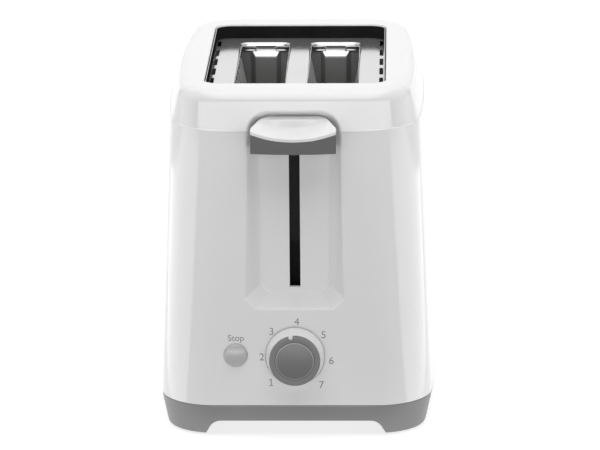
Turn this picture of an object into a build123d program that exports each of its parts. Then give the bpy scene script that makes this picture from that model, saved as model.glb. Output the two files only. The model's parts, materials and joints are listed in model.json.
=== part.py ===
from build123d import *
from math import sqrt
import os

os.makedirs("parts", exist_ok=True)

# Overall sizes, millimetres. Front faces -Y, X to the viewer's right, Z up, feet on Z = 0.
WIDTH = 158.0
LENGTH = 218.0
HEIGHT = 194.0
REACH_OUT = 12.0
SEAM_Z = 18.3
CREASE_Z = 173.0

# Housing: plan outlines at the seam, at the crease and at the top.
SEAM_CORNER = 31.0
CREASE_CORNER = 34.0
CREASE_SIDE_IN = 7.1
CREASE_FRONT_IN = 3.6
TOP_CORNER = 26.0
TOP_SIDE_IN = 12.7
TOP_FRONT_IN = 7.8
BOW_R = 850.0
WALL = 2.5
TOP_ROUND = 7.0
INNER_ROUND = 4.5
EDGE_ROUND = 0.8

# Opening in the top and the bright pan in it.
OPEN_HALF_X = 49.8
OPEN_HALF_Y = 80.0
OPEN_CORNER = 9.5
PAN_DROP = 8.2
PAN_WALL_DROP = 1.0
SHEET = 0.6
FIT = 0.3
TOUCH = 0.05
SLOT_X = 20.4
SLOT_WIDTH = 27.5
SLOT_LENGTH = 132.0
SLOT_CORNER = 5.0
FLANGE_DEPTH = 1.9
FLANGE_SHEET = 1.0
FLANGE_ROUND = 0.8
VENT_WIDTH = 2.2
VENT_LENGTH = 17.5
VENT_PITCH = 25.3
VENT_COUNT = 6
VENT_FIRST_Y = -63.25
VENT_EDGE = 0.5

# Lever channel in the front.
FLOOR_IN = 12.0
CHANNEL_HALF = 19.3
CHANNEL_LOW = 80.2
CHANNEL_HIGH = 180.0
CHANNEL_LOW_CUT = 4.4
CHANNEL_HIGH_ROUND = 8.0
CHANNEL_DEPTH = 15.0
CHANNEL_SIDE_DRAFT = 0.75
CHANNEL_LOW_DRAFT = 0.65
CHANNEL_HIGH_DRAFT = 0.54
SLIT_WIDTH = 5.9
SLIT_LOW = 83.0
SLIT_HIGH = 172.5

# Base, feet and pads.
BASE_IN = 3.6
ARCH_Z = 8.9
ARCH_FRONT_TOP = 42.5
ARCH_FRONT_LOW = 50.5
ARCH_SIDE_TOP = 68.0
ARCH_SIDE_LOW = 76.0
FOOT_LIFT = 0.8
LIP_HIGH = 4.0
LIP_THICK = 1.8
LIP_CLEAR = 0.5
PAD_IN_X = 20.5
PAD_IN_Y = 21.0
PAD_R = 5.0
PAD_THICK = 2.0
BOSS_IN = 9.5
BOSS_Y = 50.0
BOSS_R = 5.0
BOSS_HIGH = 26.0
PILLAR_R = 4.5
SCREW_R = 1.5
SCREW_HEAD_R = 3.0
SCREW_HEAD = 2.0
SCREW_LONG = 20.0
SCREW_SINK = 1.4
SCREW_SLOT = 0.8

# Chassis of sheet steel.
END_Y = 69.0
END_SHEET = 0.8
END_HALF_X = 58.0
SHIELD_X = 57.0
SHIELD_LOW = 20.0
SHIELD_GAP = 0.1
TRAY_GATE_HALF = 51.0
TRAY_GATE_HIGH = 18.5
EMBOSS_WIDTH = 16.0
EMBOSS_LOW = 120.0
EMBOSS_HIGH = 181.4
EMBOSS_RISE = 0.6
RACK_GATE = 10.0

# Heating elements.
BOARD_X = 42.5
BOARD_THICK = 0.8
BOARD_LOW = 40.0
BOARD_HIGH = 168.0
RIBBON_WIDE = 2.4
RIBBON_THICK = 0.25
RIBBON_GAP = 0.05
RIBBON_COUNT = 9
RIBBON_PITCH = 14.0

# Bread guards of wire.
GUARD_WIRE_R = 0.9
GUARD_IN = 1.9
GUARD_LOW = 34.0
GUARD_BEND = 162.0
GUARD_HIGH = 178.0
GUARD_FLARE = 3.2
GUARD_COUNT = 9
GUARD_PITCH = 15.0
GUARD_RAIL_LOW = 60.0
GUARD_RAIL_HIGH = 140.0

# Carriage, lever and racks. The travel is from rest to the latched position.
TRAVEL = 76.0
RACK_Z = 106.0
RACK_WIDE = 16.0
RACK_THICK = 1.0
RACK_END_CLEAR = 2.0
RACK_EDGE = 4.0
RACK_TOOTH_PITCH = 12.0
RACK_TOOTH_COUNT = 10
RACK_TOOTH_WIDE = 6.0
RACK_TOOTH_LONG = 5.0
TONGUE_WIDE = 8.0
TONGUE_REAR = 3.0
CARRIAGE_GAP = 7.2
CARRIAGE_SHEET = 1.0
CARRIAGE_HALF = 30.0
CARRIAGE_LOW = 104.0
CARRIAGE_MID = 136.0
CARRIAGE_HIGH = 172.0
STEM_HALF = 9.0
ARM_THICK = 2.4
ARM_LOW = 160.0
ARM_HIGH = 170.0
ARM_OUT = 13.0
GRIP_LOW = 163.0
GRIP_OUT = 22.0
GRIP_SIDE_OUT = 19.5
GRIP_HALF = 23.2
GRIP_TAPER_OUT = 15.5
GRIP_GAP = 1.4
GRIP_REAR_HALF = 16.8
GRIP_TOP_FRONT = 174.4
GRIP_TOP_REAR = 179.6
GRIP_ROUND = 1.2
GRIP_CORNER = 8.0
CAP_THICK = 1.6
DISH_R = 50.0
DISH_DEEP = 4.0
DISH_OUT = 22.5
ROD_X = -14.0
ROD_GAP = 8.0
ROD_R = 2.5
ROD_FIT = 0.05
SLEEVE_R = 4.8
SLEEVE_LOW = 118.0
SLEEVE_HIGH = 146.0
SPRING_R = 3.9
SPRING_WIRE_R = 0.55
SPRING_TURNS = 14
SPRING_END = 0.3

# Holding magnet and its keeper.
MAGNET_X = 16.0
MAGNET_HALF_X = 9.0
MAGNET_HALF_Y = 5.5
MAGNET_HIGH = 40.0
MAGNET_LEG = 4.5
MAGNET_FOOT = 6.0
COIL_CLEAR = 0.4
COIL_WRAP = 1.0
COIL_SIDE = 5.0
KEEPER_GAP = 0.3
KEEPER_THICK = 2.0

# Controls on the front.
KNOB_Z = 46.7
KNOB_CLEAR = 0.5
SKIRT_R = 16.1
SKIRT_TOP_R = 14.3
RING_R = 14.0
RING_THICK = 2.6
RING_ROUND = 0.6
RING_OUT = 10.7
CAP_R = 10.6
CAP_SEAT = 1.6
CAP_FIT = 0.1
POINTER_TURN = -9.0
POINTER_WIDE = 2.4
POINTER_DEEP = 1.6
POINTER_RISE = 0.4
SHAFT_R = 3.0
SHAFT_FIT = 0.05
SHAFT_DEEP = 1.7
SHAFT_OUT = 7.0
SHAFT_HOLE_R = 4.2
POT_R = 8.0
POT_LONG = 6.6
BUTTON_X = -32.7
BUTTON_Z = 47.1
BUTTON_R = 6.6
BUTTON_FIT = 0.3
BUTTON_OUT = 2.4
BUTTON_DOME = 1.2
BUTTON_FLANGE_R = 8.2
BUTTON_FLANGE = 1.0
BUTTON_STEM_R = 2.0
BUTTON_STEM_IN = 5.5
BUTTON_TRAVEL = 2.2
CIRCUIT_IN = 11.2
CIRCUIT_THICK = 1.6
CIRCUIT_HALF = 46.0
CIRCUIT_HIGH = 66.0
SWITCH_SIDE = 6.0

# Crumb tray, cord gland and leads.
TRAY_HALF = 48.0
TRAY_SHORT = 5.0
TRAY_RIM = 4.2
TRAY_LIFT = 0.3
HANDLE_HALF = 49.0
HANDLE_LIFT = 0.5
HANDLE_TALL = 5.4
HANDLE_OUT = 3.5
HANDLE_DEEP = 8.0
HANDLE_GRIP = 2.0
GATE_CLEAR = 0.4
GLAND_X = 42.0
GLAND_Z = 32.0
GLAND_HOLE_R = 5.2
GLAND_R = 5.0
GLAND_FLANGE_R = 7.6
GLAND_FLANGE = 2.4
GLAND_TIP_R = 4.2
GLAND_BORE_R = 3.3
GLAND_INNER = 6.0
LEAD_R = 1.1
LEAD_GAP = 3.0
LEAD_IN = 17.0
LEAD_STEP = 3.2

# Sizes that follow from the ones above.
SEAM_HALF = WIDTH / 2
FRONT = LENGTH / 2
PAN_Z = HEIGHT - PAN_DROP
PAN_UNDER = PAN_Z - SHEET
FLOOR_Z = ARCH_Z + WALL
REACH = FRONT + REACH_OUT
FLOOR_Y = FLOOR_IN - FRONT
PAD_X = SEAM_HALF - PAD_IN_X
PAD_Y = FRONT - PAD_IN_Y
BOSS_X = SEAM_HALF - BOSS_IN
CARRIAGE_Y = -END_Y - END_SHEET - CARRIAGE_GAP
ROD_Y = CARRIAGE_Y - ROD_GAP
ARM_FRONT = FLOOR_Y - ARM_OUT
GRIP_FRONT = FLOOR_Y - GRIP_OUT
GRIP_FRONT_SIDE = FLOOR_Y - GRIP_SIDE_OUT
GRIP_TAPER_Y = FLOOR_Y - GRIP_TAPER_OUT
GRIP_REAR = FLOOR_Y - GRIP_GAP
DISH_Y = FLOOR_Y - DISH_OUT
RING_FRONT = -FRONT - RING_OUT
CIRCUIT_FRONT = CIRCUIT_IN - FRONT
POT_FRONT = CIRCUIT_FRONT - POT_LONG
SHAFT_REAR = CIRCUIT_FRONT - SHAFT_DEEP
SHAFT_FRONT = -FRONT - SHAFT_OUT
BUTTON_FRONT = -FRONT - BUTTON_OUT
BUTTON_STEM_END = BUTTON_STEM_IN - FRONT
TRAY_FRONT = TRAY_SHORT - END_Y
HANDLE_LOW = FLOOR_Z + HANDLE_LIFT
HANDLE_HIGH = HANDLE_LOW + HANDLE_TALL
HANDLE_REAR = FRONT + HANDLE_OUT
LEAD_X = END_HALF_X + LEAD_GAP
LEAD_TURN_Y = FRONT - LEAD_IN
FACE_LEAN = CREASE_FRONT_IN / (CREASE_Z - SEAM_Z)
KNOB_FACE = -FRONT + FACE_LEAN * (KNOB_Z - SEAM_Z)
KNOB_BACK = KNOB_FACE - KNOB_CLEAR
BUTTON_FACE = -FRONT + FACE_LEAN * (BUTTON_Z - SEAM_Z)
REAR_FACE = FRONT - FACE_LEAN * (GLAND_Z - SEAM_Z)
GUARD_INNER_X = SLOT_X - SLOT_WIDTH / 2 + GUARD_IN
GUARD_OUTER_X = SLOT_X + SLOT_WIDTH / 2 - GUARD_IN
CIRCUIT_BACK = CIRCUIT_FRONT + CIRCUIT_THICK
RACK_END = SLOT_LENGTH / 2 - RACK_END_CLEAR
BIG = 2 * LENGTH


def block(x0, x1, y0, y1, z0, z1):
    return Pos((x0 + x1) / 2, (y0 + y1) / 2, (z0 + z1) / 2) * Box(x1 - x0, y1 - y0, z1 - z0)


def rod(start, end, radius):
    span = Vector(*end) - Vector(*start)
    return extrude(Plane(origin=start, z_dir=span) * Circle(radius), span.length)


def cone(start, end, low_r, high_r):
    span = Vector(*end) - Vector(*start)
    faces = [Plane(origin=start, z_dir=span) * Circle(low_r), Plane(origin=end, z_dir=span) * Circle(high_r)]
    return loft(faces)


# One closed plan outline with bowed sides and round corners.
def plan(half, front, corner, z):
    edge = half - front * front / (2 * BOW_R)
    lines = Line((-edge, -front), (edge, -front))
    lines += ThreePointArc((edge, -front), (half, 0), (edge, front))
    lines += Line((edge, front), (-edge, front))
    lines += ThreePointArc((-edge, front), (-half, 0), (-edge, -front))
    face = make_face(lines)
    return Pos(0, 0, z) * fillet(face.vertices(), corner)


# The housing's volume, drawn in by the given distance; the low end can run on below the seam.
def housing_volume(inset, rounding, top):
    low = plan(SEAM_HALF - inset, FRONT - inset, SEAM_CORNER - inset, SEAM_Z)
    mid = plan(
        SEAM_HALF - CREASE_SIDE_IN - inset, FRONT - CREASE_FRONT_IN - inset, CREASE_CORNER - inset, CREASE_Z)
    high = plan(SEAM_HALF - TOP_SIDE_IN - inset, FRONT - TOP_FRONT_IN - inset, TOP_CORNER - inset, top)
    body = loft([low, mid], ruled=True) + loft([mid, high], ruled=True)
    return fillet(body.faces().sort_by(Axis.Z)[-1].edges(), rounding)


# One outline of the lever channel, grown by its draft at the given distance in front of its floor.
def channel_outline(depth, grow):
    half = CHANNEL_HALF + CHANNEL_SIDE_DRAFT * depth + grow
    low = CHANNEL_LOW - CHANNEL_LOW_DRAFT * depth - grow
    high = CHANNEL_HIGH + CHANNEL_HIGH_DRAFT * depth + grow
    low_cut = CHANNEL_LOW_CUT * half / CHANNEL_HALF
    right = [(half - low_cut, low), (half, low + low_cut), (half, high)]
    left = [(-x, z) for x, z in reversed(right)]
    face = make_face(Polyline(*right, *left, close=True))
    return fillet(face.vertices().group_by(Axis.Y)[-1], CHANNEL_HIGH_ROUND * half / CHANNEL_HALF)


def channel_volume(grow):
    back = Plane(origin=(0, FLOOR_Y + grow, 0), x_dir=(1, 0, 0), z_dir=(0, -1, 0))
    front = Plane(origin=(0, FLOOR_Y - CHANNEL_DEPTH, 0), x_dir=(1, 0, 0), z_dir=(0, -1, 0))
    return loft([back * channel_outline(0, grow), front * channel_outline(CHANNEL_DEPTH, grow)], ruled=True)


def rounded_plate(half_x, half_y, corner, x, z0, z1):
    return Pos(x, 0, z0) * extrude(RectangleRounded(2 * half_x, 2 * half_y, corner), z1 - z0)


# Housing shell: hollow volume, channel walls behind the lever, bosses, openings.
outer = housing_volume(0, TOP_ROUND, HEIGHT)
inner = housing_volume(WALL, INNER_ROUND, HEIGHT - WALL)
shell = outer - inner
shell += channel_volume(WALL) & outer
shell -= channel_volume(0)
for sx in (-1, 1):
    for sy in (-1, 1):
        boss = rod((sx * BOSS_X, sy * BOSS_Y, SEAM_Z + TOUCH), (sx * BOSS_X, sy * BOSS_Y, SEAM_Z + BOSS_HIGH), BOSS_R)
        shell += boss & outer
for sx in (-1, 1):
    for sy in (-1, 1):
        shell -= rod((sx * BOSS_X, sy * BOSS_Y, 0), (sx * BOSS_X, sy * BOSS_Y, FLOOR_Z + SCREW_LONG), SCREW_R)
shell -= rounded_plate(OPEN_HALF_X, OPEN_HALF_Y, OPEN_CORNER, 0, PAN_UNDER, HEIGHT + WALL)
shell -= block(-SLIT_WIDTH / 2, SLIT_WIDTH / 2, -FRONT, FLOOR_Y + 2 * WALL, SLIT_LOW, SLIT_HIGH)
shell -= rod((0, -REACH, KNOB_Z), (0, POT_FRONT, KNOB_Z), SHAFT_HOLE_R)
shell -= rod((BUTTON_X, -REACH, BUTTON_Z), (BUTTON_X, POT_FRONT, BUTTON_Z), BUTTON_R + BUTTON_FIT)
shell -= rod((GLAND_X, REACH, GLAND_Z), (GLAND_X, FRONT - 2 * WALL, GLAND_Z), GLAND_HOLE_R)
rim = shell.edges().filter_by_position(Axis.Z, HEIGHT - TOUCH, HEIGHT + TOUCH)
rim = rim.filter_by(lambda e: abs(e.center().X) < OPEN_HALF_X + TOUCH and abs(e.center().Y) < OPEN_HALF_Y + TOUCH)
shell = fillet(rim, EDGE_ROUND)


# Base: a drawn-in tub with arches between its feet, a lip inside the housing and screw pillars.
def base_volume(inset, low_z):
    high = plan(SEAM_HALF - inset, FRONT - inset, SEAM_CORNER - inset, SEAM_Z)
    low = plan(SEAM_HALF - BASE_IN - inset, FRONT - BASE_IN - inset, SEAM_CORNER - BASE_IN - inset, low_z)
    return loft([low, high], ruled=True)


def arches(grow):
    front = Polyline(
        (-ARCH_FRONT_LOW - grow, -grow), (-ARCH_FRONT_TOP - grow, ARCH_Z + grow),
        (ARCH_FRONT_TOP + grow, ARCH_Z + grow), (ARCH_FRONT_LOW + grow, -grow), close=True)
    side = Polyline(
        (-ARCH_SIDE_LOW - grow, -grow), (-ARCH_SIDE_TOP - grow, ARCH_Z + grow),
        (ARCH_SIDE_TOP + grow, ARCH_Z + grow), (ARCH_SIDE_LOW + grow, -grow), close=True)
    along_y = extrude(Plane.XZ * make_face(front), BIG, both=True)
    along_x = extrude(Plane.YZ * make_face(side), BIG, both=True)
    return along_y + along_x


base = base_volume(0, FOOT_LIFT) - arches(0)
base -= base_volume(WALL, FOOT_LIFT + WALL) - arches(WALL)
lip = plan(SEAM_HALF - WALL - LIP_CLEAR, FRONT - WALL - LIP_CLEAR, SEAM_CORNER - WALL - LIP_CLEAR, SEAM_Z - LIP_HIGH)
lip_in = WALL + LIP_CLEAR + LIP_THICK
lip -= plan(SEAM_HALF - lip_in, FRONT - lip_in, SEAM_CORNER - lip_in, SEAM_Z - LIP_HIGH)
base += extrude(lip, 2 * LIP_HIGH)
for sx in (-1, 1):
    for sy in (-1, 1):
        x = sx * BOSS_X
        y = sy * BOSS_Y
        base -= rod((x, y, SEAM_Z), (x, y, SEAM_Z + 2 * LIP_HIGH), BOSS_R + FIT)
        base += rod((x, y, ARCH_Z), (x, y, SEAM_Z), PILLAR_R)
        base -= rod((x, y, 0), (x, y, ARCH_Z + SCREW_SINK + SCREW_HEAD), SCREW_HEAD_R + FIT)
        base -= rod((x, y, 0), (x, y, SEAM_Z + 2 * LIP_HIGH), SCREW_R + TOUCH)
        base -= rod((sx * PAD_X, sy * PAD_Y, 0), (sx * PAD_X, sy * PAD_Y, PAD_THICK), PAD_R + TOUCH)
base -= block(
    -HANDLE_HALF - GATE_CLEAR, HANDLE_HALF + GATE_CLEAR, FRONT - LIP_HIGH * 2, REACH,
    FLOOR_Z, HANDLE_HIGH + GATE_CLEAR)

pads = []
screws = []
for sx in (-1, 1):
    for sy in (-1, 1):
        pads.append(rod((sx * PAD_X, sy * PAD_Y, 0), (sx * PAD_X, sy * PAD_Y, PAD_THICK - TOUCH), PAD_R))
        x = sx * BOSS_X
        y = sy * BOSS_Y
        head_z = ARCH_Z + SCREW_SINK
        screw = rod((x, y, head_z), (x, y, head_z + SCREW_HEAD), SCREW_HEAD_R)
        screw += rod((x, y, head_z), (x, y, head_z + SCREW_LONG), SCREW_R - TOUCH)
        for turn in (0, 90):
            cross = Box(2 * SCREW_R, SCREW_SLOT, 2 * SCREW_SLOT)
            screw -= Pos(x, y, head_z) * Rot(0, 0, turn) * cross
        screws.append(screw)

# Polished pan in the top: floor, turned-up wall, flanged slots and side vents.
pan_half_x = OPEN_HALF_X - FIT
pan_half_y = OPEN_HALF_Y - FIT
pan_corner = OPEN_CORNER - FIT
pan_top = HEIGHT - PAN_WALL_DROP
pan = rounded_plate(pan_half_x, pan_half_y, pan_corner, 0, PAN_UNDER, pan_top)
pan -= rounded_plate(pan_half_x - SHEET, pan_half_y - SHEET, pan_corner - SHEET, 0, PAN_Z, HEIGHT)
slot_half_x = SLOT_WIDTH / 2
slot_half_y = SLOT_LENGTH / 2
for sx in (-1, 1):
    ring_x = slot_half_x + FLANGE_SHEET
    ring_y = slot_half_y + FLANGE_SHEET
    pan += rounded_plate(ring_x, ring_y, SLOT_CORNER + FLANGE_SHEET, sx * SLOT_X, PAN_Z - FLANGE_DEPTH, PAN_Z)
for sx in (-1, 1):
    pan -= rounded_plate(slot_half_x, slot_half_y, SLOT_CORNER, sx * SLOT_X, PAN_Z - 2 * FLANGE_DEPTH, HEIGHT)
    for i in range(VENT_COUNT):
        vent_x = sx * (pan_half_x - SHEET - VENT_EDGE - VENT_WIDTH / 2)
        vent = Box(VENT_WIDTH, VENT_LENGTH, 2 * PAN_DROP)
        pan -= Pos(vent_x, VENT_FIRST_Y + i * VENT_PITCH, PAN_Z) * vent
slot_edges = pan.edges().filter_by_position(Axis.Z, PAN_Z - TOUCH, PAN_Z + TOUCH)
slot_edges = slot_edges.filter_by(
    lambda e: abs(abs(e.center().X) - SLOT_X) <= slot_half_x + TOUCH and abs(e.center().Y) <= slot_half_y + TOUCH)
pan = fillet(slot_edges, FLANGE_ROUND)


# Chassis end plates: legs astride the tray, gates for the racks' tongues, raised panels.
def end_plate(side):
    y0 = side * END_Y
    y1 = side * (END_Y + END_SHEET)
    plate = block(-END_HALF_X, END_HALF_X, min(y0, y1), max(y0, y1), FLOOR_Z, PAN_UNDER - FLANGE_DEPTH)
    plate -= block(-TRAY_GATE_HALF, TRAY_GATE_HALF, -BIG, BIG, 0, TRAY_GATE_HIGH)
    for sx in (-1, 1):
        gate_low = RACK_Z - TRAVEL - RACK_EDGE
        plate -= block(
            sx * SLOT_X - RACK_GATE / 2, sx * SLOT_X + RACK_GATE / 2, -BIG, BIG, gate_low, RACK_Z + RACK_EDGE)
        y2 = side * (END_Y - EMBOSS_RISE)
        plate += block(
            sx * SLOT_X - EMBOSS_WIDTH / 2, sx * SLOT_X + EMBOSS_WIDTH / 2, min(y0, y2), max(y0, y2),
            EMBOSS_LOW, EMBOSS_HIGH)
    return plate


def shield(side):
    x0 = side * SHIELD_X
    x1 = side * (SHIELD_X + END_SHEET)
    reach = END_Y - SHIELD_GAP
    return block(min(x0, x1), max(x0, x1), -reach, reach, SHIELD_LOW, PAN_UNDER - FLANGE_DEPTH)


# Heating element: a board between the end plates and a ribbon wound round it.
def element_board(x):
    reach = END_Y - SHIELD_GAP
    return block(x - BOARD_THICK / 2, x + BOARD_THICK / 2, -reach, reach, BOARD_LOW, BOARD_HIGH)


def element_winding(x):
    turns = []
    near = BOARD_THICK / 2 + RIBBON_GAP
    far = near + RIBBON_THICK
    for i in range(RIBBON_COUNT):
        y = (i - (RIBBON_COUNT - 1) / 2) * RIBBON_PITCH
        low = BOARD_LOW - RIBBON_GAP
        high = BOARD_HIGH + RIBBON_GAP
        turn = block(
            x - far, x + far, y - RIBBON_WIDE / 2, y + RIBBON_WIDE / 2, low - RIBBON_THICK, high + RIBBON_THICK)
        turn -= block(x - near, x + near, -BIG, BIG, low, high)
        turns.append(turn)
    return Compound(children=turns)


# Bread guard: upright wires that flare at the top, welded to two rails between the end plates.
def guard(x, flare):
    reach = END_Y - EMBOSS_RISE - SHIELD_GAP
    wires = rod((x, -reach, GUARD_RAIL_LOW), (x, reach, GUARD_RAIL_LOW), GUARD_WIRE_R)
    wires += rod((x, -reach, GUARD_RAIL_HIGH), (x, reach, GUARD_RAIL_HIGH), GUARD_WIRE_R)
    for i in range(GUARD_COUNT):
        y = (i - (GUARD_COUNT - 1) / 2) * GUARD_PITCH
        wires += rod((x, y, GUARD_LOW), (x, y, GUARD_BEND), GUARD_WIRE_R)
        wires += Pos(x, y, GUARD_BEND) * Sphere(GUARD_WIRE_R)
        wires += rod((x, y, GUARD_BEND), (x + flare, y, GUARD_HIGH), GUARD_WIRE_R)
    return wires


# Bread rack: a strip with toothed edges and a tongue through each end plate.
def rack(x):
    top = RACK_Z + RACK_THICK / 2
    low = RACK_Z - RACK_THICK / 2
    strip = block(x - RACK_WIDE / 2, x + RACK_WIDE / 2, -RACK_END, RACK_END, low, top)
    tongue_rear = END_Y + END_SHEET + TONGUE_REAR
    strip += block(x - TONGUE_WIDE / 2, x + TONGUE_WIDE / 2, CARRIAGE_Y, tongue_rear, low, top)
    for i in range(RACK_TOOTH_COUNT):
        y = (i - (RACK_TOOTH_COUNT - 1) / 2) * RACK_TOOTH_PITCH
        for sx in (-1, 1):
            notch = Box(RACK_TOOTH_LONG, RACK_TOOTH_WIDE, RACK_EDGE)
            strip -= Pos(x + sx * RACK_WIDE / 2, y, RACK_Z) * notch
    return strip


# Carriage: a cross plate with a stem up to the lever arm and a sleeve that runs on the guide rod.
carriage_front = CARRIAGE_Y - CARRIAGE_SHEET
carriage = block(-CARRIAGE_HALF, CARRIAGE_HALF, carriage_front, CARRIAGE_Y, CARRIAGE_LOW, CARRIAGE_MID)
carriage += block(-STEM_HALF, STEM_HALF, carriage_front, CARRIAGE_Y, CARRIAGE_MID, CARRIAGE_HIGH)
carriage += rod((ROD_X, ROD_Y, SLEEVE_LOW), (ROD_X, ROD_Y, SLEEVE_HIGH), SLEEVE_R)
carriage += block(
    ROD_X - SLEEVE_R / 2, ROD_X + SLEEVE_R / 2, ROD_Y, carriage_front, SLEEVE_LOW, CARRIAGE_MID)
carriage -= rod((ROD_X, ROD_Y, 0), (ROD_X, ROD_Y, HEIGHT), ROD_R + ROD_FIT)

arm = block(-ARM_THICK / 2, ARM_THICK / 2, ARM_FRONT, carriage_front, ARM_LOW, ARM_HIGH)

guide = rod((ROD_X, ROD_Y, FLOOR_Z + TOUCH), (ROD_X, ROD_Y, PAN_UNDER - TOUCH), ROD_R)

spring_low = FLOOR_Z + SPRING_END + SPRING_WIRE_R
spring_high = SLEEVE_LOW - SPRING_END - SPRING_WIRE_R
spring_long = spring_high - spring_low
spring_path = Helix(spring_long / SPRING_TURNS, spring_long, SPRING_R)
spring_start = Plane(origin=spring_path @ 0, z_dir=spring_path % 0)
spring = Pos(ROD_X, ROD_Y, spring_low) * sweep(spring_start * Circle(SPRING_WIRE_R), path=spring_path)


# Lever grip and its light cap: one wedge in plan, with a dished, sloping top.
def grip_plan():
    lines = ThreePointArc((-GRIP_HALF, GRIP_FRONT_SIDE), (0, GRIP_FRONT), (GRIP_HALF, GRIP_FRONT_SIDE))
    lines += Polyline(
        (GRIP_HALF, GRIP_FRONT_SIDE), (GRIP_HALF, GRIP_TAPER_Y), (GRIP_REAR_HALF, GRIP_REAR),
        (-GRIP_REAR_HALF, GRIP_REAR), (-GRIP_HALF, GRIP_TAPER_Y), (-GRIP_HALF, GRIP_FRONT_SIDE))
    face = make_face(lines)
    corners = face.vertices().filter_by(lambda v: v.Y > GRIP_TAPER_Y - TOUCH)
    return fillet(corners, GRIP_CORNER)


slope = (GRIP_TOP_REAR - GRIP_TOP_FRONT) / (GRIP_REAR - GRIP_FRONT)
slope_plane = Plane(origin=(0, GRIP_FRONT, GRIP_TOP_FRONT), x_dir=(1, 0, 0), z_dir=(0, -slope, 1))
above = slope_plane * (Pos(0, 0, BIG / 2) * Box(BIG, BIG, BIG))
dish_normal = Vector(0, -slope, 1).normalized()
dish_point = Vector(0, DISH_Y, GRIP_TOP_FRONT + slope * (DISH_Y - GRIP_FRONT))
dish_centre = dish_point + dish_normal * (DISH_R - DISH_DEEP)
dish = Pos(dish_centre.X, dish_centre.Y, dish_centre.Z) * Sphere(DISH_R)
cap_drop = CAP_THICK * sqrt(1 + slope * slope)
cap_dish = Pos(dish_centre.X, dish_centre.Y, dish_centre.Z - cap_drop) * Sphere(DISH_R)

grip_block = Pos(0, 0, GRIP_LOW) * extrude(grip_plan(), GRIP_TOP_REAR)
grip = grip_block - above
grip = fillet(grip.faces().sort_by(Axis.Z)[0].edges(), GRIP_ROUND)
grip -= dish
cap_solid = (grip_block - above) - dish
lever_cap = cap_solid & (Pos(0, 0, -cap_drop) * above + cap_dish)
grip -= lever_cap
grip -= block(
    -ARM_THICK / 2 - TOUCH, ARM_THICK / 2 + TOUCH, ARM_FRONT - TOUCH, 0, ARM_LOW - TOUCH, ARM_HIGH + TOUCH)

# Holding magnet: a yoke with two legs on the base, a coil on its bridge and a keeper on the carriage.
yoke_x0 = MAGNET_X - MAGNET_HALF_X
yoke_x1 = MAGNET_X + MAGNET_HALF_X
yoke_y0 = ROD_Y - MAGNET_HALF_Y
yoke_y1 = ROD_Y + MAGNET_HALF_Y
yoke = block(yoke_x0, yoke_x1, yoke_y0, yoke_y1, FLOOR_Z + TOUCH, MAGNET_HIGH)
yoke -= block(
    yoke_x0 + MAGNET_LEG, yoke_x1 - MAGNET_LEG, -BIG, BIG, FLOOR_Z + MAGNET_FOOT, MAGNET_HIGH + WALL)
coil_z0 = FLOOR_Z + MAGNET_FOOT + COIL_CLEAR
coil_z1 = MAGNET_HIGH - MAGNET_LEG
coil = block(
    yoke_x1 - MAGNET_LEG - COIL_SIDE, yoke_x1 + COIL_SIDE, yoke_y0 - COIL_WRAP, yoke_y1 + COIL_WRAP,
    coil_z0, coil_z1)
coil -= block(
    yoke_x1 - MAGNET_LEG - TOUCH, yoke_x1 + TOUCH, yoke_y0 - TOUCH, yoke_y1 + TOUCH, 0, BIG)
keeper_z = MAGNET_HIGH + KEEPER_GAP + TRAVEL
keeper = block(yoke_x0, yoke_x1, yoke_y0, carriage_front, keeper_z, keeper_z + KEEPER_THICK)

# Circuit board standing on the base, with the timer's potentiometer and the switch.
circuit = block(-CIRCUIT_HALF, CIRCUIT_HALF, CIRCUIT_FRONT, CIRCUIT_BACK, FLOOR_Z + TOUCH, CIRCUIT_HIGH)
pot = rod((0, CIRCUIT_FRONT, KNOB_Z), (0, POT_FRONT, KNOB_Z), POT_R)
pot -= rod((0, SHAFT_REAR + FIT, KNOB_Z), (0, -REACH, KNOB_Z), SHAFT_R + SHAFT_FIT)
shaft = rod((0, SHAFT_REAR, KNOB_Z), (0, SHAFT_FRONT, KNOB_Z), SHAFT_R)
switch_front = BUTTON_STEM_END + BUTTON_TRAVEL + FIT
switch = block(
    BUTTON_X - SWITCH_SIDE / 2, BUTTON_X + SWITCH_SIDE / 2, switch_front, CIRCUIT_FRONT,
    BUTTON_Z - SWITCH_SIDE / 2, BUTTON_Z + SWITCH_SIDE / 2)

# Browning knob: light skirt with a pointer rib, grey ring on its front and domed cap.
skirt_front = RING_FRONT + RING_THICK
skirt = cone((0, KNOB_BACK, KNOB_Z), (0, skirt_front, KNOB_Z), SKIRT_R, SKIRT_TOP_R)
ring = rod((0, skirt_front, KNOB_Z), (0, RING_FRONT, KNOB_Z), RING_R)
ring = fillet(ring.faces().sort_by(Axis.Y)[0].edges(), RING_ROUND)
ring -= rod((0, RING_FRONT + CAP_SEAT, KNOB_Z), (0, -BIG, KNOB_Z), CAP_R + CAP_FIT)


def pointer(clear):
    half = POINTER_WIDE / 2 + clear
    rib = block(-half, half, RING_FRONT, skirt_front, RING_R - POINTER_DEEP - clear, RING_R + POINTER_RISE)
    return Pos(0, 0, KNOB_Z) * Rot(0, POINTER_TURN, 0) * rib


ring -= pointer(TOUCH)
skirt += pointer(0)
skirt -= rod((0, 0, KNOB_Z), (0, SHAFT_FRONT - TOUCH, KNOB_Z), SHAFT_R + TOUCH)
cap_back = RING_FRONT + CAP_SEAT - TOUCH
dome_high = REACH + cap_back
edge_high = CAP_SEAT - TOUCH
dome_r = (CAP_R * CAP_R + (dome_high - edge_high) ** 2) / (2 * (dome_high - edge_high))
knob_cap = rod((0, cap_back, KNOB_Z), (0, -REACH, KNOB_Z), CAP_R)
knob_cap &= Pos(0, -REACH + dome_r, KNOB_Z) * Sphere(dome_r)

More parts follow.
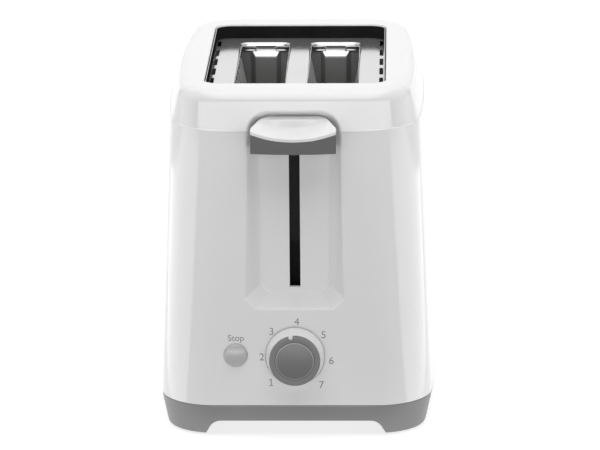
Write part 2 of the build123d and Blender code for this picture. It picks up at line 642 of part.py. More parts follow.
# Push button with a flange behind the housing wall.
flange_front = BUTTON_FACE + WALL + FIT
button = rod((BUTTON_X, BUTTON_FRONT, BUTTON_Z), (BUTTON_X, flange_front, BUTTON_Z), BUTTON_R)
button_dome_r = (BUTTON_R * BUTTON_R + BUTTON_DOME * BUTTON_DOME) / (2 * BUTTON_DOME)
button &= Pos(BUTTON_X, BUTTON_FRONT + button_dome_r, BUTTON_Z) * Sphere(button_dome_r)
button += rod(
    (BUTTON_X, flange_front, BUTTON_Z), (BUTTON_X, flange_front + BUTTON_FLANGE, BUTTON_Z), BUTTON_FLANGE_R)
button += rod((BUTTON_X, flange_front, BUTTON_Z), (BUTTON_X, BUTTON_STEM_END, BUTTON_Z), BUTTON_STEM_R)

# Crumb tray with a folded rim and a plastic handle at the rear.
handle_front = HANDLE_REAR - HANDLE_DEEP
tray_z = FLOOR_Z + TRAY_LIFT
tray = block(-TRAY_HALF, TRAY_HALF, TRAY_FRONT, handle_front, tray_z, tray_z + TRAY_RIM)
tray -= block(
    -TRAY_HALF + SHEET, TRAY_HALF - SHEET, TRAY_FRONT + SHEET, handle_front - SHEET, tray_z + SHEET, HEIGHT)
handle = block(-HANDLE_HALF, HANDLE_HALF, handle_front, HANDLE_REAR, HANDLE_LOW, HANDLE_HIGH)
handle = fillet(handle.edges().filter_by(Axis.X), EDGE_ROUND)
handle -= block(-SLOT_X, SLOT_X, FRONT, REACH, 0, HANDLE_LOW + HANDLE_GRIP)

# Cord gland in the rear wall and the leads from it to the circuit board.
gland = rod((GLAND_X, REAR_FACE - GLAND_INNER, GLAND_Z), (GLAND_X, REAR_FACE, GLAND_Z), GLAND_R)
gland += rod(
    (GLAND_X, REAR_FACE + FIT, GLAND_Z), (GLAND_X, REAR_FACE + FIT + GLAND_FLANGE, GLAND_Z), GLAND_FLANGE_R)
gland += cone((GLAND_X, REAR_FACE, GLAND_Z), (GLAND_X, REACH, GLAND_Z), GLAND_R, GLAND_TIP_R)
gland -= rod((GLAND_X, 0, GLAND_Z), (GLAND_X, BIG, GLAND_Z), GLAND_BORE_R)

leads = []
for i in range(2):
    lead_z = GLAND_Z + (i - 1 / 2) * LEAD_STEP
    points = [
        (GLAND_X, REAR_FACE - GLAND_INNER / 2, lead_z), (GLAND_X, LEAD_TURN_Y, lead_z),
        (LEAD_X, LEAD_TURN_Y, lead_z), (LEAD_X, -LEAD_TURN_Y, lead_z),
        (CIRCUIT_HALF - WALL, -LEAD_TURN_Y, lead_z), (CIRCUIT_HALF - WALL, CIRCUIT_BACK + TOUCH, lead_z)]
    lead = rod(points[0], points[1], LEAD_R)
    for start, end in zip(points[1:-1], points[2:]):
        lead += Pos(*start) * Sphere(LEAD_R)
        lead += rod(start, end, LEAD_R)
    leads.append(lead)

nodes = {
    "housing_shell": shell,
    "base": base,
    "foot_pads": Compound(children=pads),
    "base_screws": Compound(children=screws),
    "top_plate": pan,
    "front_end_plate": end_plate(-1),
    "rear_end_plate": end_plate(1),
    "left_shield": shield(-1),
    "right_shield": shield(1),
    "left_board": element_board(-BOARD_X),
    "centre_board": element_board(0),
    "right_board": element_board(BOARD_X),
    "left_winding": element_winding(-BOARD_X),
    "centre_winding": element_winding(0),
    "right_winding": element_winding(BOARD_X),
    "left_outer_guard": guard(-GUARD_OUTER_X, -GUARD_FLARE),
    "left_inner_guard": guard(-GUARD_INNER_X, GUARD_FLARE),
    "right_inner_guard": guard(GUARD_INNER_X, -GUARD_FLARE),
    "right_outer_guard": guard(GUARD_OUTER_X, GUARD_FLARE),
    "left_rack": rack(-SLOT_X),
    "right_rack": rack(SLOT_X),
    "carriage_plate": carriage,
    "lever_arm": arm,
    "lever_grip": grip,
    "lever_cap": lever_cap,
    "guide_rod": guide,
    "carriage_spring": spring,
    "magnet_yoke": yoke,
    "magnet_coil": coil,
    "keeper": keeper,
    "circuit_board": circuit,
    "potentiometer": pot,
    "pot_shaft": shaft,
    "cancel_switch": switch,
    "knob_skirt": skirt,
    "knob_ring": ring,
    "knob_cap": knob_cap,
    "cancel_button": button,
    "crumb_tray": tray,
    "tray_handle": handle,
    "cord_gland": gland,
    "supply_leads": Compound(children=leads),
}
for name, shape in nodes.items():
    export_step(shape, "parts/" + name + ".step")
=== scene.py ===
import bpy
import bmesh
import json
from math import sin, cos, tan, pi, radians, sqrt, atan2
from mathutils import Vector, Matrix


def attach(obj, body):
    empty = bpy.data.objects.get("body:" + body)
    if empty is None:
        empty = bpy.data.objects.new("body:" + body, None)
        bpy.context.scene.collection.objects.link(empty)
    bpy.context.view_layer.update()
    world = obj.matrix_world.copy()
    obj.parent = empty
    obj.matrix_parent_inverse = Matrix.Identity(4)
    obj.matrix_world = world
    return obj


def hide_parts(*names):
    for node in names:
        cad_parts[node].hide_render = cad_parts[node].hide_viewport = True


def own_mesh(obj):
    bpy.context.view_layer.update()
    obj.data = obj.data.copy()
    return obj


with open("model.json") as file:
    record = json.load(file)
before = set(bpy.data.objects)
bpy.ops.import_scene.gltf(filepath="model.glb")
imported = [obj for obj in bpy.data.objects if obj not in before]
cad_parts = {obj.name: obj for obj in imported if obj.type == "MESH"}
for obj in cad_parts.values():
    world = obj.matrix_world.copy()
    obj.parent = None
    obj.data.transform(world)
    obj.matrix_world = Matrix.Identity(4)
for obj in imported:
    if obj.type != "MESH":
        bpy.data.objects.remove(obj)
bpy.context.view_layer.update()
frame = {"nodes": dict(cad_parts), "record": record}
nodes = frame["nodes"]
bpy.ops.object.select_all(action="DESELECT")

# the photograph's camera: a long lens, a little above the lever end
cameraSetup = {
    "place": (0.05643, -2.20387, 0.66247), "lens": 238.25, "sensor": 36.0, "clip": 20.0,
    "yaw": 0.02539, "pitch": 0.25280, "roll": -0.00740}


def addCamera(s):
    bpy.ops.object.camera_add()
    cam = bpy.context.object
    cam.name = "photoCamera"
    forward = Vector((-sin(s["yaw"]) * cos(s["pitch"]), cos(s["yaw"]) * cos(s["pitch"]), -sin(s["pitch"])))
    right = forward.cross(Vector((0, 0, 1))).normalized()
    up = right.cross(forward)
    across = right * cos(s["roll"]) + up * sin(s["roll"])
    upward = up * cos(s["roll"]) - right * sin(s["roll"])
    turn = Matrix((across, upward, -forward)).transposed()
    cam.matrix_world = Matrix.Translation(s["place"]) @ turn.to_4x4()
    cam.data.sensor_width = s["sensor"]
    cam.data.lens = s["lens"]
    cam.data.clip_end = s["clip"]
    bpy.context.scene.camera = cam


addCamera(cameraSetup)
print("camera set")

# soft panels all round, each with the radiance it shows
lightSetup = {
    "world": 0.08,
    "panels": {
        "topPanel": {"at": (0.0, -0.35, 1.5), "aim": (0.0, -0.34, 0.0), "size": (1.8, 2.1), "glow": 2.0},
        "frontPanel": {"at": (0.0, -3.2, 0.7), "aim": (0.0, 0.0, 0.7), "size": (7.0, 1.36), "glow": 1.0},
        "leftPanel": {"at": (-1.2, 0.25, 0.5), "aim": (0.0, 0.05, 0.1), "size": (1.4, 0.9), "glow": 0.8},
        "rightPanel": {"at": (1.2, 0.25, 0.5), "aim": (0.0, 0.05, 0.1), "size": (1.4, 0.9), "glow": 0.8},
        "rearPanel": {"at": (0.0, 1.3, 1.3), "aim": (0.0, 1.29, 0.0), "size": (2.6, 1.2), "glow": 0.85},
        "backPanel": {"at": (0.0, 2.6, 0.75), "aim": (0.0, 0.0, 0.4), "size": (4.0, 1.5), "glow": 0.85}}}


def addLights(s):
    world = bpy.data.worlds.new("studio")
    bpy.context.scene.world = world
    world.use_nodes = True
    back = world.node_tree.nodes["Background"]
    back.inputs["Color"].default_value = (1, 1, 1, 1)
    back.inputs["Strength"].default_value = s["world"]
    for name, p in s["panels"].items():
        bpy.ops.object.light_add(type="AREA", location=p["at"])
        lamp = bpy.context.object
        lamp.name = name
        lamp.data.shape = "RECTANGLE"
        lamp.data.size = p["size"][0]
        lamp.data.size_y = p["size"][1]
        lamp.data.energy = p["glow"] * pi * p["size"][0] * p["size"][1]
        aim = Vector(p["aim"]) - Vector(p["at"])
        lamp.rotation_euler = aim.to_track_quat("-Z", "Y").to_euler()


addLights(lightSetup)
bpy.context.scene.view_settings.view_transform = "Standard"
print("lights set")


# materials: each one has its own mottling, roughness spread and fine bump
def noiseNode(tree, coords, scale, detail, stretch):
    noise = tree.nodes.new("ShaderNodeTexNoise")
    noise.inputs["Scale"].default_value = scale
    noise.inputs["Detail"].default_value = detail
    if stretch:
        mapping = tree.nodes.new("ShaderNodeMapping")
        mapping.inputs["Scale"].default_value = stretch
        tree.links.new(coords.outputs["Object"], mapping.inputs["Vector"])
        tree.links.new(mapping.outputs["Vector"], noise.inputs["Vector"])
    else:
        tree.links.new(coords.outputs["Object"], noise.inputs["Vector"])
    return noise


def rangeNode(tree, source, low, high, span):
    node = tree.nodes.new("ShaderNodeMapRange")
    node.inputs["From Min"].default_value = span[0]
    node.inputs["From Max"].default_value = span[1]
    node.inputs["To Min"].default_value = low
    node.inputs["To Max"].default_value = high
    tree.links.new(source, node.inputs["Value"])
    return node


def mixColours(tree, factor, first, second):
    mix = tree.nodes.new("ShaderNodeMix")
    mix.data_type = "RGBA"
    mix.inputs["A"].default_value = (*first, 1)
    mix.inputs["B"].default_value = (*second, 1)
    tree.links.new(factor, mix.inputs["Factor"])
    return mix


# what a finish has unless it says otherwise
plainFinish = {"patch": 14.0, "patchDetail": 3.0, "grain": 900.0, "grainDetail": 4.0, "span": (0.3, 0.7),
               "stretch": None,
               "darker": 0.95, "bump": 0.05, "depth": 0.0002, "metal": 0.0, "specular": 0.5}


def finishMaterial(given):
    s = {**plainFinish, **given}
    mat = bpy.data.materials.new(s["name"])
    mat.use_nodes = True
    tree = mat.node_tree
    shader = tree.nodes["Principled BSDF"]
    coords = tree.nodes.new("ShaderNodeTexCoord")
    broad = noiseNode(tree, coords, s["patch"], s["patchDetail"], s["stretch"])
    blend = rangeNode(tree, broad.outputs["Fac"], 0.0, 1.0, s["span"])
    shade = s.get("shade", [c * s["darker"] for c in s["colour"]])
    mix = mixColours(tree, blend.outputs["Result"], s["colour"], shade)
    tree.links.new(mix.outputs["Result"], shader.inputs["Base Color"])
    fine = noiseNode(tree, coords, s["grain"], s["grainDetail"], s["stretch"])
    rough = rangeNode(tree, fine.outputs["Fac"], s["rough"][0], s["rough"][1], s["span"])
    tree.links.new(rough.outputs["Result"], shader.inputs["Roughness"])
    bump = tree.nodes.new("ShaderNodeBump")
    bump.inputs["Strength"].default_value = s["bump"]
    bump.inputs["Distance"].default_value = s["depth"]
    tree.links.new(fine.outputs["Fac"], bump.inputs["Height"])
    tree.links.new(bump.outputs["Normal"], shader.inputs["Normal"])
    shader.inputs["Metallic"].default_value = s["metal"]
    shader.inputs["Specular IOR Level"].default_value = s["specular"]
    return mat


finishes = {
    "housing_white": {"name": "glossWhite", "colour": (0.86, 0.86, 0.86), "shade": (0.84, 0.84, 0.84),
                      "rough": (0.05, 0.08), "patch": 9.0, "grain": 1400.0, "bump": 0.012},
    "base_grey": {"name": "satinGrey", "colour": (0.25, 0.25, 0.25), "shade": (0.225, 0.225, 0.225),
                  "rough": (0.36, 0.46), "grain": 2600.0, "bump": 0.12},
    "pad_rubber": {"name": "padRubber", "colour": (0.05, 0.05, 0.05), "rough": (0.75, 0.9), "bump": 0.3},
    "plated_steel": {"name": "platedSteel", "colour": (0.55, 0.55, 0.56), "rough": (0.3, 0.45), "metal": 1.0,
                     "bump": 0.08},
    "black_steel": {"name": "blackSteel", "colour": (0.012, 0.012, 0.012), "rough": (0.5, 0.65), "bump": 0.1},
    "polished_steel": {"name": "mirrorSteel", "colour": (0.78, 0.78, 0.79), "shade": (0.74, 0.74, 0.75),
                       "rough": (0.1, 0.16), "metal": 0.86, "bump": 0.015, "grain": 500.0},
    "sheet_steel": {"name": "brightSheet", "colour": (0.66, 0.66, 0.67), "rough": (0.16, 0.26), "metal": 1.0,
                    "bump": 0.03, "stretch": (1.0, 1.0, 0.08)},
    "mica": {"name": "micaBoard", "colour": (0.33, 0.29, 0.22), "shade": (0.26, 0.23, 0.18),
             "rough": (0.5, 0.7),
             "patch": 60.0, "bump": 0.2},
    "ribbon": {"name": "heaterRibbon", "colour": (0.2, 0.19, 0.18), "rough": (0.4, 0.55), "metal": 0.8,
               "bump": 0.1},
    "guard_wire": {"name": "drawnWire", "colour": (0.78, 0.78, 0.79), "rough": (0.3, 0.4), "metal": 0.5,
                   "bump": 0.05, "stretch": (1.0, 1.0, 0.1)},
    "lever_grey": {"name": "leverGrey", "colour": (0.094, 0.094, 0.094), "shade": (0.082, 0.082, 0.082),
                   "rough": (0.42, 0.52), "grain": 2200.0, "bump": 0.12},
    "coil_copper": {"name": "coilCopper", "colour": (0.42, 0.17, 0.07), "rough": (0.3, 0.4), "metal": 0.9,
                    "stretch": (0.1, 0.1, 6.0), "bump": 0.4},
    "circuit_green": {"name": "circuitGreen", "colour": (0.02, 0.09, 0.035), "rough": (0.35, 0.5),
                      "bump": 0.1},
    "black_plastic": {"name": "blackPlastic", "colour": (0.012, 0.012, 0.012), "rough": (0.4, 0.5),
                      "bump": 0.08},
    "knob_light": {"name": "knobLight", "colour": (0.86, 0.86, 0.86), "rough": (0.24, 0.28), "grain": 2600.0,
                   "bump": 0.008},
    "knob_dark": {"name": "knobDark", "colour": (0.19, 0.19, 0.19), "rough": (0.42, 0.5), "grain": 2400.0,
                  "bump": 0.1},
    "knob_grey": {"name": "knobGrey", "colour": (0.165, 0.165, 0.165), "rough": (0.36, 0.46), "grain": 2400.0,
                  "bump": 0.08},
    "button_grey": {"name": "buttonGrey", "colour": (0.52, 0.52, 0.52), "rough": (0.24, 0.32),
                    "grain": 2400.0,
                    "bump": 0.08},
    "gland_grey": {"name": "glandRubber", "colour": (0.08, 0.08, 0.08), "rough": (0.65, 0.8), "bump": 0.2},
    "lead_black": {"name": "leadBlack", "colour": (0.015, 0.015, 0.015), "rough": (0.5, 0.6), "bump": 0.1}}
# near-black sheet for the front end plate: painted shade, so the lever slit reads black
slitShadePlate = {"name": "slitShadeSheet", "colour": (0.02, 0.02, 0.02), "rough": (0.55, 0.7), "metal": 0.3,
                "bump": 0.1}


def paint(obj, material):
    obj.data.materials.clear()
    obj.data.materials.append(material)


made = {slot: finishMaterial(s) for slot, s in finishes.items()}
for part in frame["record"]["subparts"]:
    paint(nodes[part["node"]], made[part["material_slot"]])
# the front end plate behind the lever slit takes the near-black painted shade
paint(nodes["front_end_plate"], finishMaterial(slitShadePlate))
print("materials made", len(made))

# the floor is a light table; bright cards round it show only as gloss,
# and a grey flag in front takes the glare off it
stageSetup = {
    "half": 6.0, "colour": (0.45, 0.45, 0.45), "glow": 0.72, "cardColour": (0.05, 0.05, 0.05),
    "rough": (0.7, 0.8),
    "cards": {
        "leftCard": {"at": (-0.741, -0.0805, 0.003), "size": (1.06, 0.7), "turn": (0, 0, radians(30)),
                     "glow": 2.4, "flag": False},
        "rightCard": {"at": (0.741, -0.0805, 0.003), "size": (1.06, 0.7), "turn": (0, 0, radians(-30)),
                      "glow": 2.4, "flag": False},
        "frontCard": {"at": (0.0, -3.1, 0.75), "size": (15.0, 1.3), "turn": (pi / 2, 0, 0), "glow": 3.6,
                      "flag": False},
        "frontFlag": {"at": (0.0, -1.62, 0.002), "size": (3.2, 3.0), "turn": (0, 0, 0), "glow": 0.5,
                      "flag": True}}}


def glowing(name, colour, rough, glow):
    mat = finishMaterial({"name": name, "colour": colour, "shade": colour, "rough": rough, "bump": 0.0})
    shader = mat.node_tree.nodes["Principled BSDF"]
    shader.inputs["Emission Color"].default_value = (1, 1, 1, 1)
    shader.inputs["Emission Strength"].default_value = glow
    return mat


def addStage(s):
    bpy.ops.object.select_all(action="DESELECT")
    bpy.ops.mesh.primitive_plane_add(size=2 * s["half"], location=(0, 0, 0))
    floor = bpy.context.object
    floor.name = "studioFloor"
    floor.data.materials.append(glowing("paleFloor", s["colour"], s["rough"], s["glow"]))
    for name, c in s["cards"].items():
        bpy.ops.mesh.primitive_plane_add(size=1.0, location=c["at"], rotation=c["turn"])
        card = bpy.context.object
        card.name = name
        card.scale = (c["size"][0], c["size"][1], 1.0)
        card.data.materials.append(glowing(name + "Paint", s["cardColour"], s["rough"], c["glow"]))
        card.visible_camera = False
        card.visible_diffuse = c["flag"]
        card.visible_shadow = False


addStage(stageSetup)
print("stage set")


# small helpers for modelling by hand
def clearSelection():
    if bpy.context.object and bpy.context.object.mode != "OBJECT":
        bpy.ops.object.mode_set(mode="OBJECT")
    bpy.ops.object.select_all(action="DESELECT")


def pick(obj):
    clearSelection()
    obj.select_set(True)
    bpy.context.view_layer.objects.active = obj


def applyModifiers(obj):
    pick(obj)
    for mod in list(obj.modifiers):
        bpy.ops.object.modifier_apply(modifier=mod.name)


def smoothShade(obj, angle):
    pick(obj)
    bpy.ops.object.shade_smooth_by_angle(angle=radians(angle))
    even = obj.modifiers.new("even", "WEIGHTED_NORMAL")
    even.keep_sharp = True
    even.weight = 100
    applyModifiers(obj)


def facesOut():
    bpy.ops.mesh.select_all(action="SELECT")
    bpy.ops.mesh.normals_make_consistent(inside=False)
    bpy.ops.object.mode_set(mode="OBJECT")


def closeUp(obj, distance):
    pick(obj)
    bpy.ops.object.mode_set(mode="EDIT")
    bpy.ops.mesh.select_all(action="SELECT")
    bpy.ops.mesh.remove_doubles(threshold=distance)
    facesOut()


def dress(obj, slot, body, *replaced):
    paint(obj, made[slot])
    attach(obj, body)
    if replaced:
        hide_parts(*replaced)


# a second material on the faces that the test picks out; where it is used here it paints shade or a highlight
# onto a part
def repaint(obj, finish, chosen):
    obj.data.materials.append(finishMaterial(finish))
    for face in obj.data.polygons:
        if chosen(face):
            face.material_index = 1


def combine(obj, tool, way):
    mod = obj.modifiers.new("join", "BOOLEAN")
    mod.object = tool
    mod.operation = way
    mod.solver = "EXACT"
    applyModifiers(obj)


def discard(obj):
    bpy.data.objects.remove(obj, do_unlink=True)


def cut(obj, tool):
    combine(obj, tool, "DIFFERENCE")
    discard(tool)


def cutBox(obj, place, size):
    clearSelection()
    bpy.ops.mesh.primitive_cube_add(size=1.0, location=place)
    tool = bpy.context.object
    tool.scale = size
    bpy.ops.object.transform_apply(location=True, rotation=True, scale=True)
    cut(obj, tool)


def joinTo(obj, others):
    clearSelection()
    for other in others:
        other.select_set(True)
    obj.select_set(True)
    bpy.context.view_layer.objects.active = obj
    bpy.ops.object.join()


# rounds the sharp edges that the test picks out
def soften(obj, chosen, s):
    pick(obj)
    bpy.ops.object.mode_set(mode="EDIT")
    bpy.ops.mesh.select_mode(type="EDGE")
    bpy.ops.mesh.select_all(action="DESELECT")
    mesh = bmesh.from_edit_mesh(obj.data)
    for edge in mesh.edges:
        if len(edge.link_faces) == 2 and edge.calc_face_angle(0) > radians(s["angle"]) and chosen(edge):
            edge.select_set(True)
    bmesh.update_edit_mesh(obj.data)
    bpy.ops.mesh.bevel(offset=s["width"], segments=s["steps"], affect="EDGES", clamp_overlap=s["clamp"])
    bpy.ops.object.mode_set(mode="OBJECT")


# one plan outline: straight ends, bowed sides, round corners, the same number of points every time
planSetup = {"end": 6, "corner": 18, "side": 10, "bow": 0.85, "straight": 1000.0}


def planOutline(half, end, corner, bow):
    n = planSetup
    cy = corner - end
    sideX = half - bow
    cx = sideX + sqrt((bow - corner) ** 2 - cy ** 2)
    stop = atan2(cy, cx - sideX)
    points = [(cx * i / n["end"], -end) for i in range(n["end"])]
    for i in range(n["corner"]):
        a = -pi / 2 + (stop + pi / 2) * i / n["corner"]
        points.append((cx + corner * cos(a), cy + corner * sin(a)))
    for i in range(n["side"] + 1):
        a = stop * (1 - i / n["side"])
        points.append((sideX + bow * cos(a), bow * sin(a)))
    right = points + [(x, -y) for x, y in reversed(points[:-1])]
    return right + [(-x, y) for x, y in reversed(right[1:-1])]


def bowedPlan(half, end, corner):
    return planOutline(half, end, corner, planSetup["bow"])


def straightPlan(half, end, corner):
    return planOutline(half, end, corner, planSetup["straight"])


def raised(outline, z):
    return [(x, y, z) for x, y in outline]


def circle(radius, steps):
    return [(radius * cos(2 * pi * i / steps), radius * sin(2 * pi * i / steps)) for i in range(steps)]


def quarter(steps):
    return [pi / 2 * i / steps for i in range(steps + 1)]


# a ring primitive drawn up from outline to outline by extruding its edge
def drawUp(name, rings, closed):
    count = len(rings[0])
    clearSelection()
    bpy.ops.mesh.primitive_circle_add(vertices=count, radius=1.0)
    obj = bpy.context.object
    obj.name = name
    bpy.ops.object.mode_set(mode="EDIT")
    for k, ring in enumerate(rings):
        if k > 0:
            bpy.ops.mesh.extrude_edges_move()
        mesh = bmesh.from_edit_mesh(obj.data)
        mesh.verts.ensure_lookup_table()
        for vert, place in zip(mesh.verts[k * count:], ring):
            vert.co = place
        bmesh.update_edit_mesh(obj.data)
    bpy.ops.mesh.select_all(action="DESELECT")
    bpy.ops.mesh.select_mode(type="EDGE")
    bpy.ops.mesh.select_non_manifold()
    if closed == "loop":
        bpy.ops.mesh.bridge_edge_loops()
    else:
        bpy.ops.mesh.edge_face_add()
    bpy.ops.mesh.select_mode(type="VERT")
    facesOut()
    return obj


def prism(name, outline, dx, low, high):
    rings = [[(x + dx, y, z) for x, y in outline] for z in (low, high)]
    return drawUp(name, rings, "caps")


# a profile of radius and y, turned round an axis that runs front to back
def turned(name, profile, x, z, steps, closed):
    rings = [[(x + u, y, z + v) for u, v in circle(r, steps)] for r, y in profile]
    return drawUp(name, rings, closed)


# a profile from a setup: each point is a named radius and a named y, with an offset each
def profileOf(s, key):
    return [(s[r] + dr, s[y] + dy) for r, dr, y, dy in s[key]]


# a fine grid whose points are each moved to their place
def gridPiece(name, s, place):
    clearSelection()
    bpy.ops.mesh.primitive_grid_add(x_subdivisions=s["columns"], y_subdivisions=s["rows"], size=2.0)
    obj = bpy.context.object
    obj.name = name
    bpy.ops.object.mode_set(mode="EDIT")
    mesh = bmesh.from_edit_mesh(obj.data)
    for vert in mesh.verts:
        vert.co = place(vert.co.x, vert.co.y)
    bmesh.update_edit_mesh(obj.data)
    bpy.ops.object.mode_set(mode="OBJECT")
    return obj


# a polyline with its inner corners rounded
def roundedLine(points, radii, steps):
    line = [Vector(points[0])]
    for before, here, after, r in zip(points, points[1:], points[2:], radii):
        p = Vector(here)
        a = (Vector(before) - p).normalized()
        b = (Vector(after) - p).normalized()
        bend = a.angle(b)
        reach = r / tan(bend / 2)
        centre = p + (a + b).normalized() * (r / sin(bend / 2))
        first = p + a * reach - centre
        turn = first.angle_signed(p + b * reach - centre)
        for i in range(steps + 1):
            t = -turn * i / steps
            spoke = Vector((first.x * cos(t) - first.y * sin(t), first.x * sin(t) + first.y * cos(t)))
            line.append(centre + spoke)
    line.append(Vector(points[-1]))
    return line


# housing: the white shell, in metres
shellSetup = {
    "seam": {"z": 0.0183, "half": 0.079, "end": 0.109, "corner": 0.031},
    "crease": {"z": 0.173, "half": 0.0719, "end": 0.1054, "corner": 0.034},
    "top": {"z": 0.194, "half": 0.0663, "end": 0.1012, "corner": 0.026},
    "opening": {"half": 0.0498, "end": 0.08, "corner": 0.0095},
    "wall": 0.0025, "topRound": 0.0068, "topSteps": 10, "topDrawIn": 0.0012, "topBands": (0.04, 0.5, 0.96),
    "seamIn": 0.0004, "seamLift": 0.0003, "creaseDrop": 0.0004, "rimRound": 0.0011, "rimSteps": 5,
    "ledge": [(0.00012, -0.0001), (0.00035, 0.0001), (0.00062, 0.00025)], "innerIn": 0.004,
    "innerDrop": 0.001,
    "halfWall": 0.0012, "fillLow": 0.004, "fillHigh": 0.002, "shade": 24.0}


def shellPart(s, z):
    return (s["seam"], s["crease"]) if z <= s["crease"]["z"] else (s["crease"], s["top"])


def shellRing(s, z, inset, atZ):
    low, high = shellPart(s, z)
    t = (z - low["z"]) / (high["z"] - low["z"])
    size = {k: low[k] + (high[k] - low[k]) * t - inset for k in ("half", "end", "corner")}
    return raised(bowedPlan(size["half"], size["end"], size["corner"]), atZ)


def frontFace(z):
    low, high = shellPart(shellSetup, z)
    return -low["end"] - (high["end"] - low["end"]) * (z - low["z"]) / (high["z"] - low["z"])


def openingPlan(s, grow):
    o = s["opening"]
    return straightPlan(o["half"] + grow, o["end"] + grow, o["corner"] + grow)


def shellRings(s):
    seamZ, creaseZ, topZ = s["seam"]["z"], s["crease"]["z"], s["top"]["z"]
    roundZ = topZ - s["topRound"]
    sides = [(seamZ, s["seamIn"]), (seamZ + s["seamLift"], 0.0), (creaseZ - s["creaseDrop"], 0.0)]
    sides += [(creaseZ + lift, inset) for inset, lift in s["ledge"]]
    sides.append((roundZ, 0.0))
    rings = [shellRing(s, z, inset, z) for z, inset in sides]
    for i in range(1, s["topSteps"] + 1):
        a = pi / 2 * i / s["topSteps"]
        inset = s["topRound"] * (1 - cos(a)) + s["topDrawIn"] * i / s["topSteps"]
        rings.append(shellRing(s, roundZ, inset, roundZ + s["topRound"] * sin(a)))
    outerTop = rings[-1]
    grown = openingPlan(s, s["rimRound"])
    for t in s["topBands"]:
        band = [(a[0] + (b[0] - a[0]) * t, a[1] + (b[1] - a[1]) * t) for a, b in zip(outerTop, grown)]
        rings.append(raised(band, topZ))
    for a in quarter(s["rimSteps"]):
        grow = s["rimRound"] * (1 - sin(a))
        rings.append(raised(openingPlan(s, grow), topZ - s["rimRound"] * (1 - cos(a))))
    rings.append(raised(openingPlan(s, 0.0), topZ - s["wall"]))
    innerZ = roundZ - s["innerDrop"]
    rings.append(shellRing(s, roundZ, s["wall"] + s["innerIn"], topZ - s["wall"]))
    rings.append(shellRing(s, innerZ, s["wall"], innerZ))
    rings.append(shellRing(s, creaseZ, s["wall"], creaseZ))
    rings.append(shellRing(s, seamZ, s["wall"], seamZ))
    return rings


# a filled shell: the channel's walls end inside the thickness of the front wall
def filledShell(s):
    levels = (s["seam"]["z"] + s["fillLow"], s["crease"]["z"], s["top"]["z"] - s["topRound"] + s["fillHigh"])
    return drawUp("shellVolume", [shellRing(s, z, s["halfWall"], z) for z in levels], "caps")


shell = drawUp("housingSkin", shellRings(shellSetup), "loop")
print("housing drawn", len(shell.data.polygons))

# lever channel: the same drafted outline for its wall block and for the cut
channelSetup = {
    "floorY": -0.097, "half": 0.0193, "low": 0.0802, "high": 0.1798, "lowCut": 0.0044, "highRound": 0.008,
    "sideDraft": 0.75, "lowDraft": 0.65, "highDraft": 0.54, "deep": 0.015, "roundSteps": 10, "wall": 0.0025,
    "soft": {"width": 0.0008, "steps": 3, "angle": 26.0, "clamp": False},
    "nearHalf": 0.037, "nearLow": 0.065, "nearHigh": 0.19, "rimSlack": 0.0008, "floorSlack": 0.0001,
    "slitClear": 0.005,
    "slitHalf": 0.00295, "slitLow": 0.083, "slitHigh": 0.1725, "slitDeep": 0.02}


def channelRing(s, depth, grow, y):
    half = s["half"] + s["sideDraft"] * depth + grow
    low = s["low"] - s["lowDraft"] * depth - grow
    high = s["high"] + s["highDraft"] * depth + grow
    corner = s["lowCut"] * half / s["half"]
    bend = s["highRound"] * half / s["half"]
    right = [(half - corner, low), (half, low + corner)]
    right += [(half - bend + bend * cos(a), high - bend + bend * sin(a)) for a in quarter(s["roundSteps"])]
    return [(x, y, z) for x, z in right] + [(-x, y, z) for x, z in reversed(right)]


def channelSolid(s, name, grow):
    back = channelRing(s, 0.0, grow, s["floorY"] + grow)
    front = channelRing(s, s["deep"], grow, s["floorY"] - s["deep"])
    return drawUp(name, [back, front], "caps")


def channelEdge(edge):
    s = channelSetup
    ends = [v.co for v in edge.verts]
    near = all(abs(p.x) < s["nearHalf"] and s["nearLow"] < p.z < s["nearHigh"] for p in ends)
    rim = all(abs(p.y - frontFace(p.z)) < s["rimSlack"] for p in ends)
    floor = all(abs(p.y - s["floorY"]) < s["floorSlack"] and abs(p.x) > s["slitClear"] for p in ends)
    return near and (rim or floor)


holes = {
    "knob": {"r": 0.0042, "x": 0.0, "z": 0.0467, "from": -0.121, "to": -0.1044, "steps": 48},
    "button": {"r": 0.00668, "x": -0.0327, "z": 0.0471, "from": -0.121, "to": -0.1044, "steps": 48},
    "gland": {"r": 0.0052, "x": 0.042, "z": 0.032, "from": 0.104, "to": 0.121, "steps": 48}}
grooveSetup = {"z": 0.0467, "outer": 0.0166, "inner": 0.0158, "front": -0.112, "deep": -0.1075, "steps": 112,
               "line": [("inner", 0, "front", 0), ("outer", 0, "front", 0), ("outer", 0, "deep", 0),
                        ("inner", 0, "deep", 0)]}


def holeTool(h):
    clearSelection()
    middle = (h["x"], (h["from"] + h["to"]) / 2, h["z"])
    bpy.ops.mesh.primitive_cylinder_add(vertices=h["steps"], radius=h["r"], depth=h["to"] - h["from"],
                                        location=middle, rotation=(pi / 2, 0, 0))
    obj = bpy.context.object
    bpy.ops.object.transform_apply(location=True, rotation=True, scale=True)
    return obj


def cutShell(obj, s):
    volume = filledShell(shellSetup)
    block = channelSolid(s, "channelBlock", s["wall"])
    combine(block, volume, "INTERSECT")
    discard(volume)
    combine(obj, block, "UNION")
    discard(block)
    cut(obj, channelSolid(s, "channelCut", 0.0))
    soften(obj, channelEdge, s["soft"])
    cutBox(obj, (0, s["floorY"], (s["slitHigh"] + s["slitLow"]) / 2),
           (2 * s["slitHalf"], s["slitDeep"], s["slitHigh"] - s["slitLow"]))
    for h in holes.values():
        cut(obj, holeTool(h))
    g = grooveSetup
    cut(obj, turned("knobGroove", profileOf(g, "line"), 0.0, g["z"], g["steps"], "loop"))


cutShell(shell, channelSetup)
smoothShade(shell, shellSetup["shade"])
dress(shell, "housing_white", "frame", "housing_shell")
print("housing cut", len(shell.data.polygons))
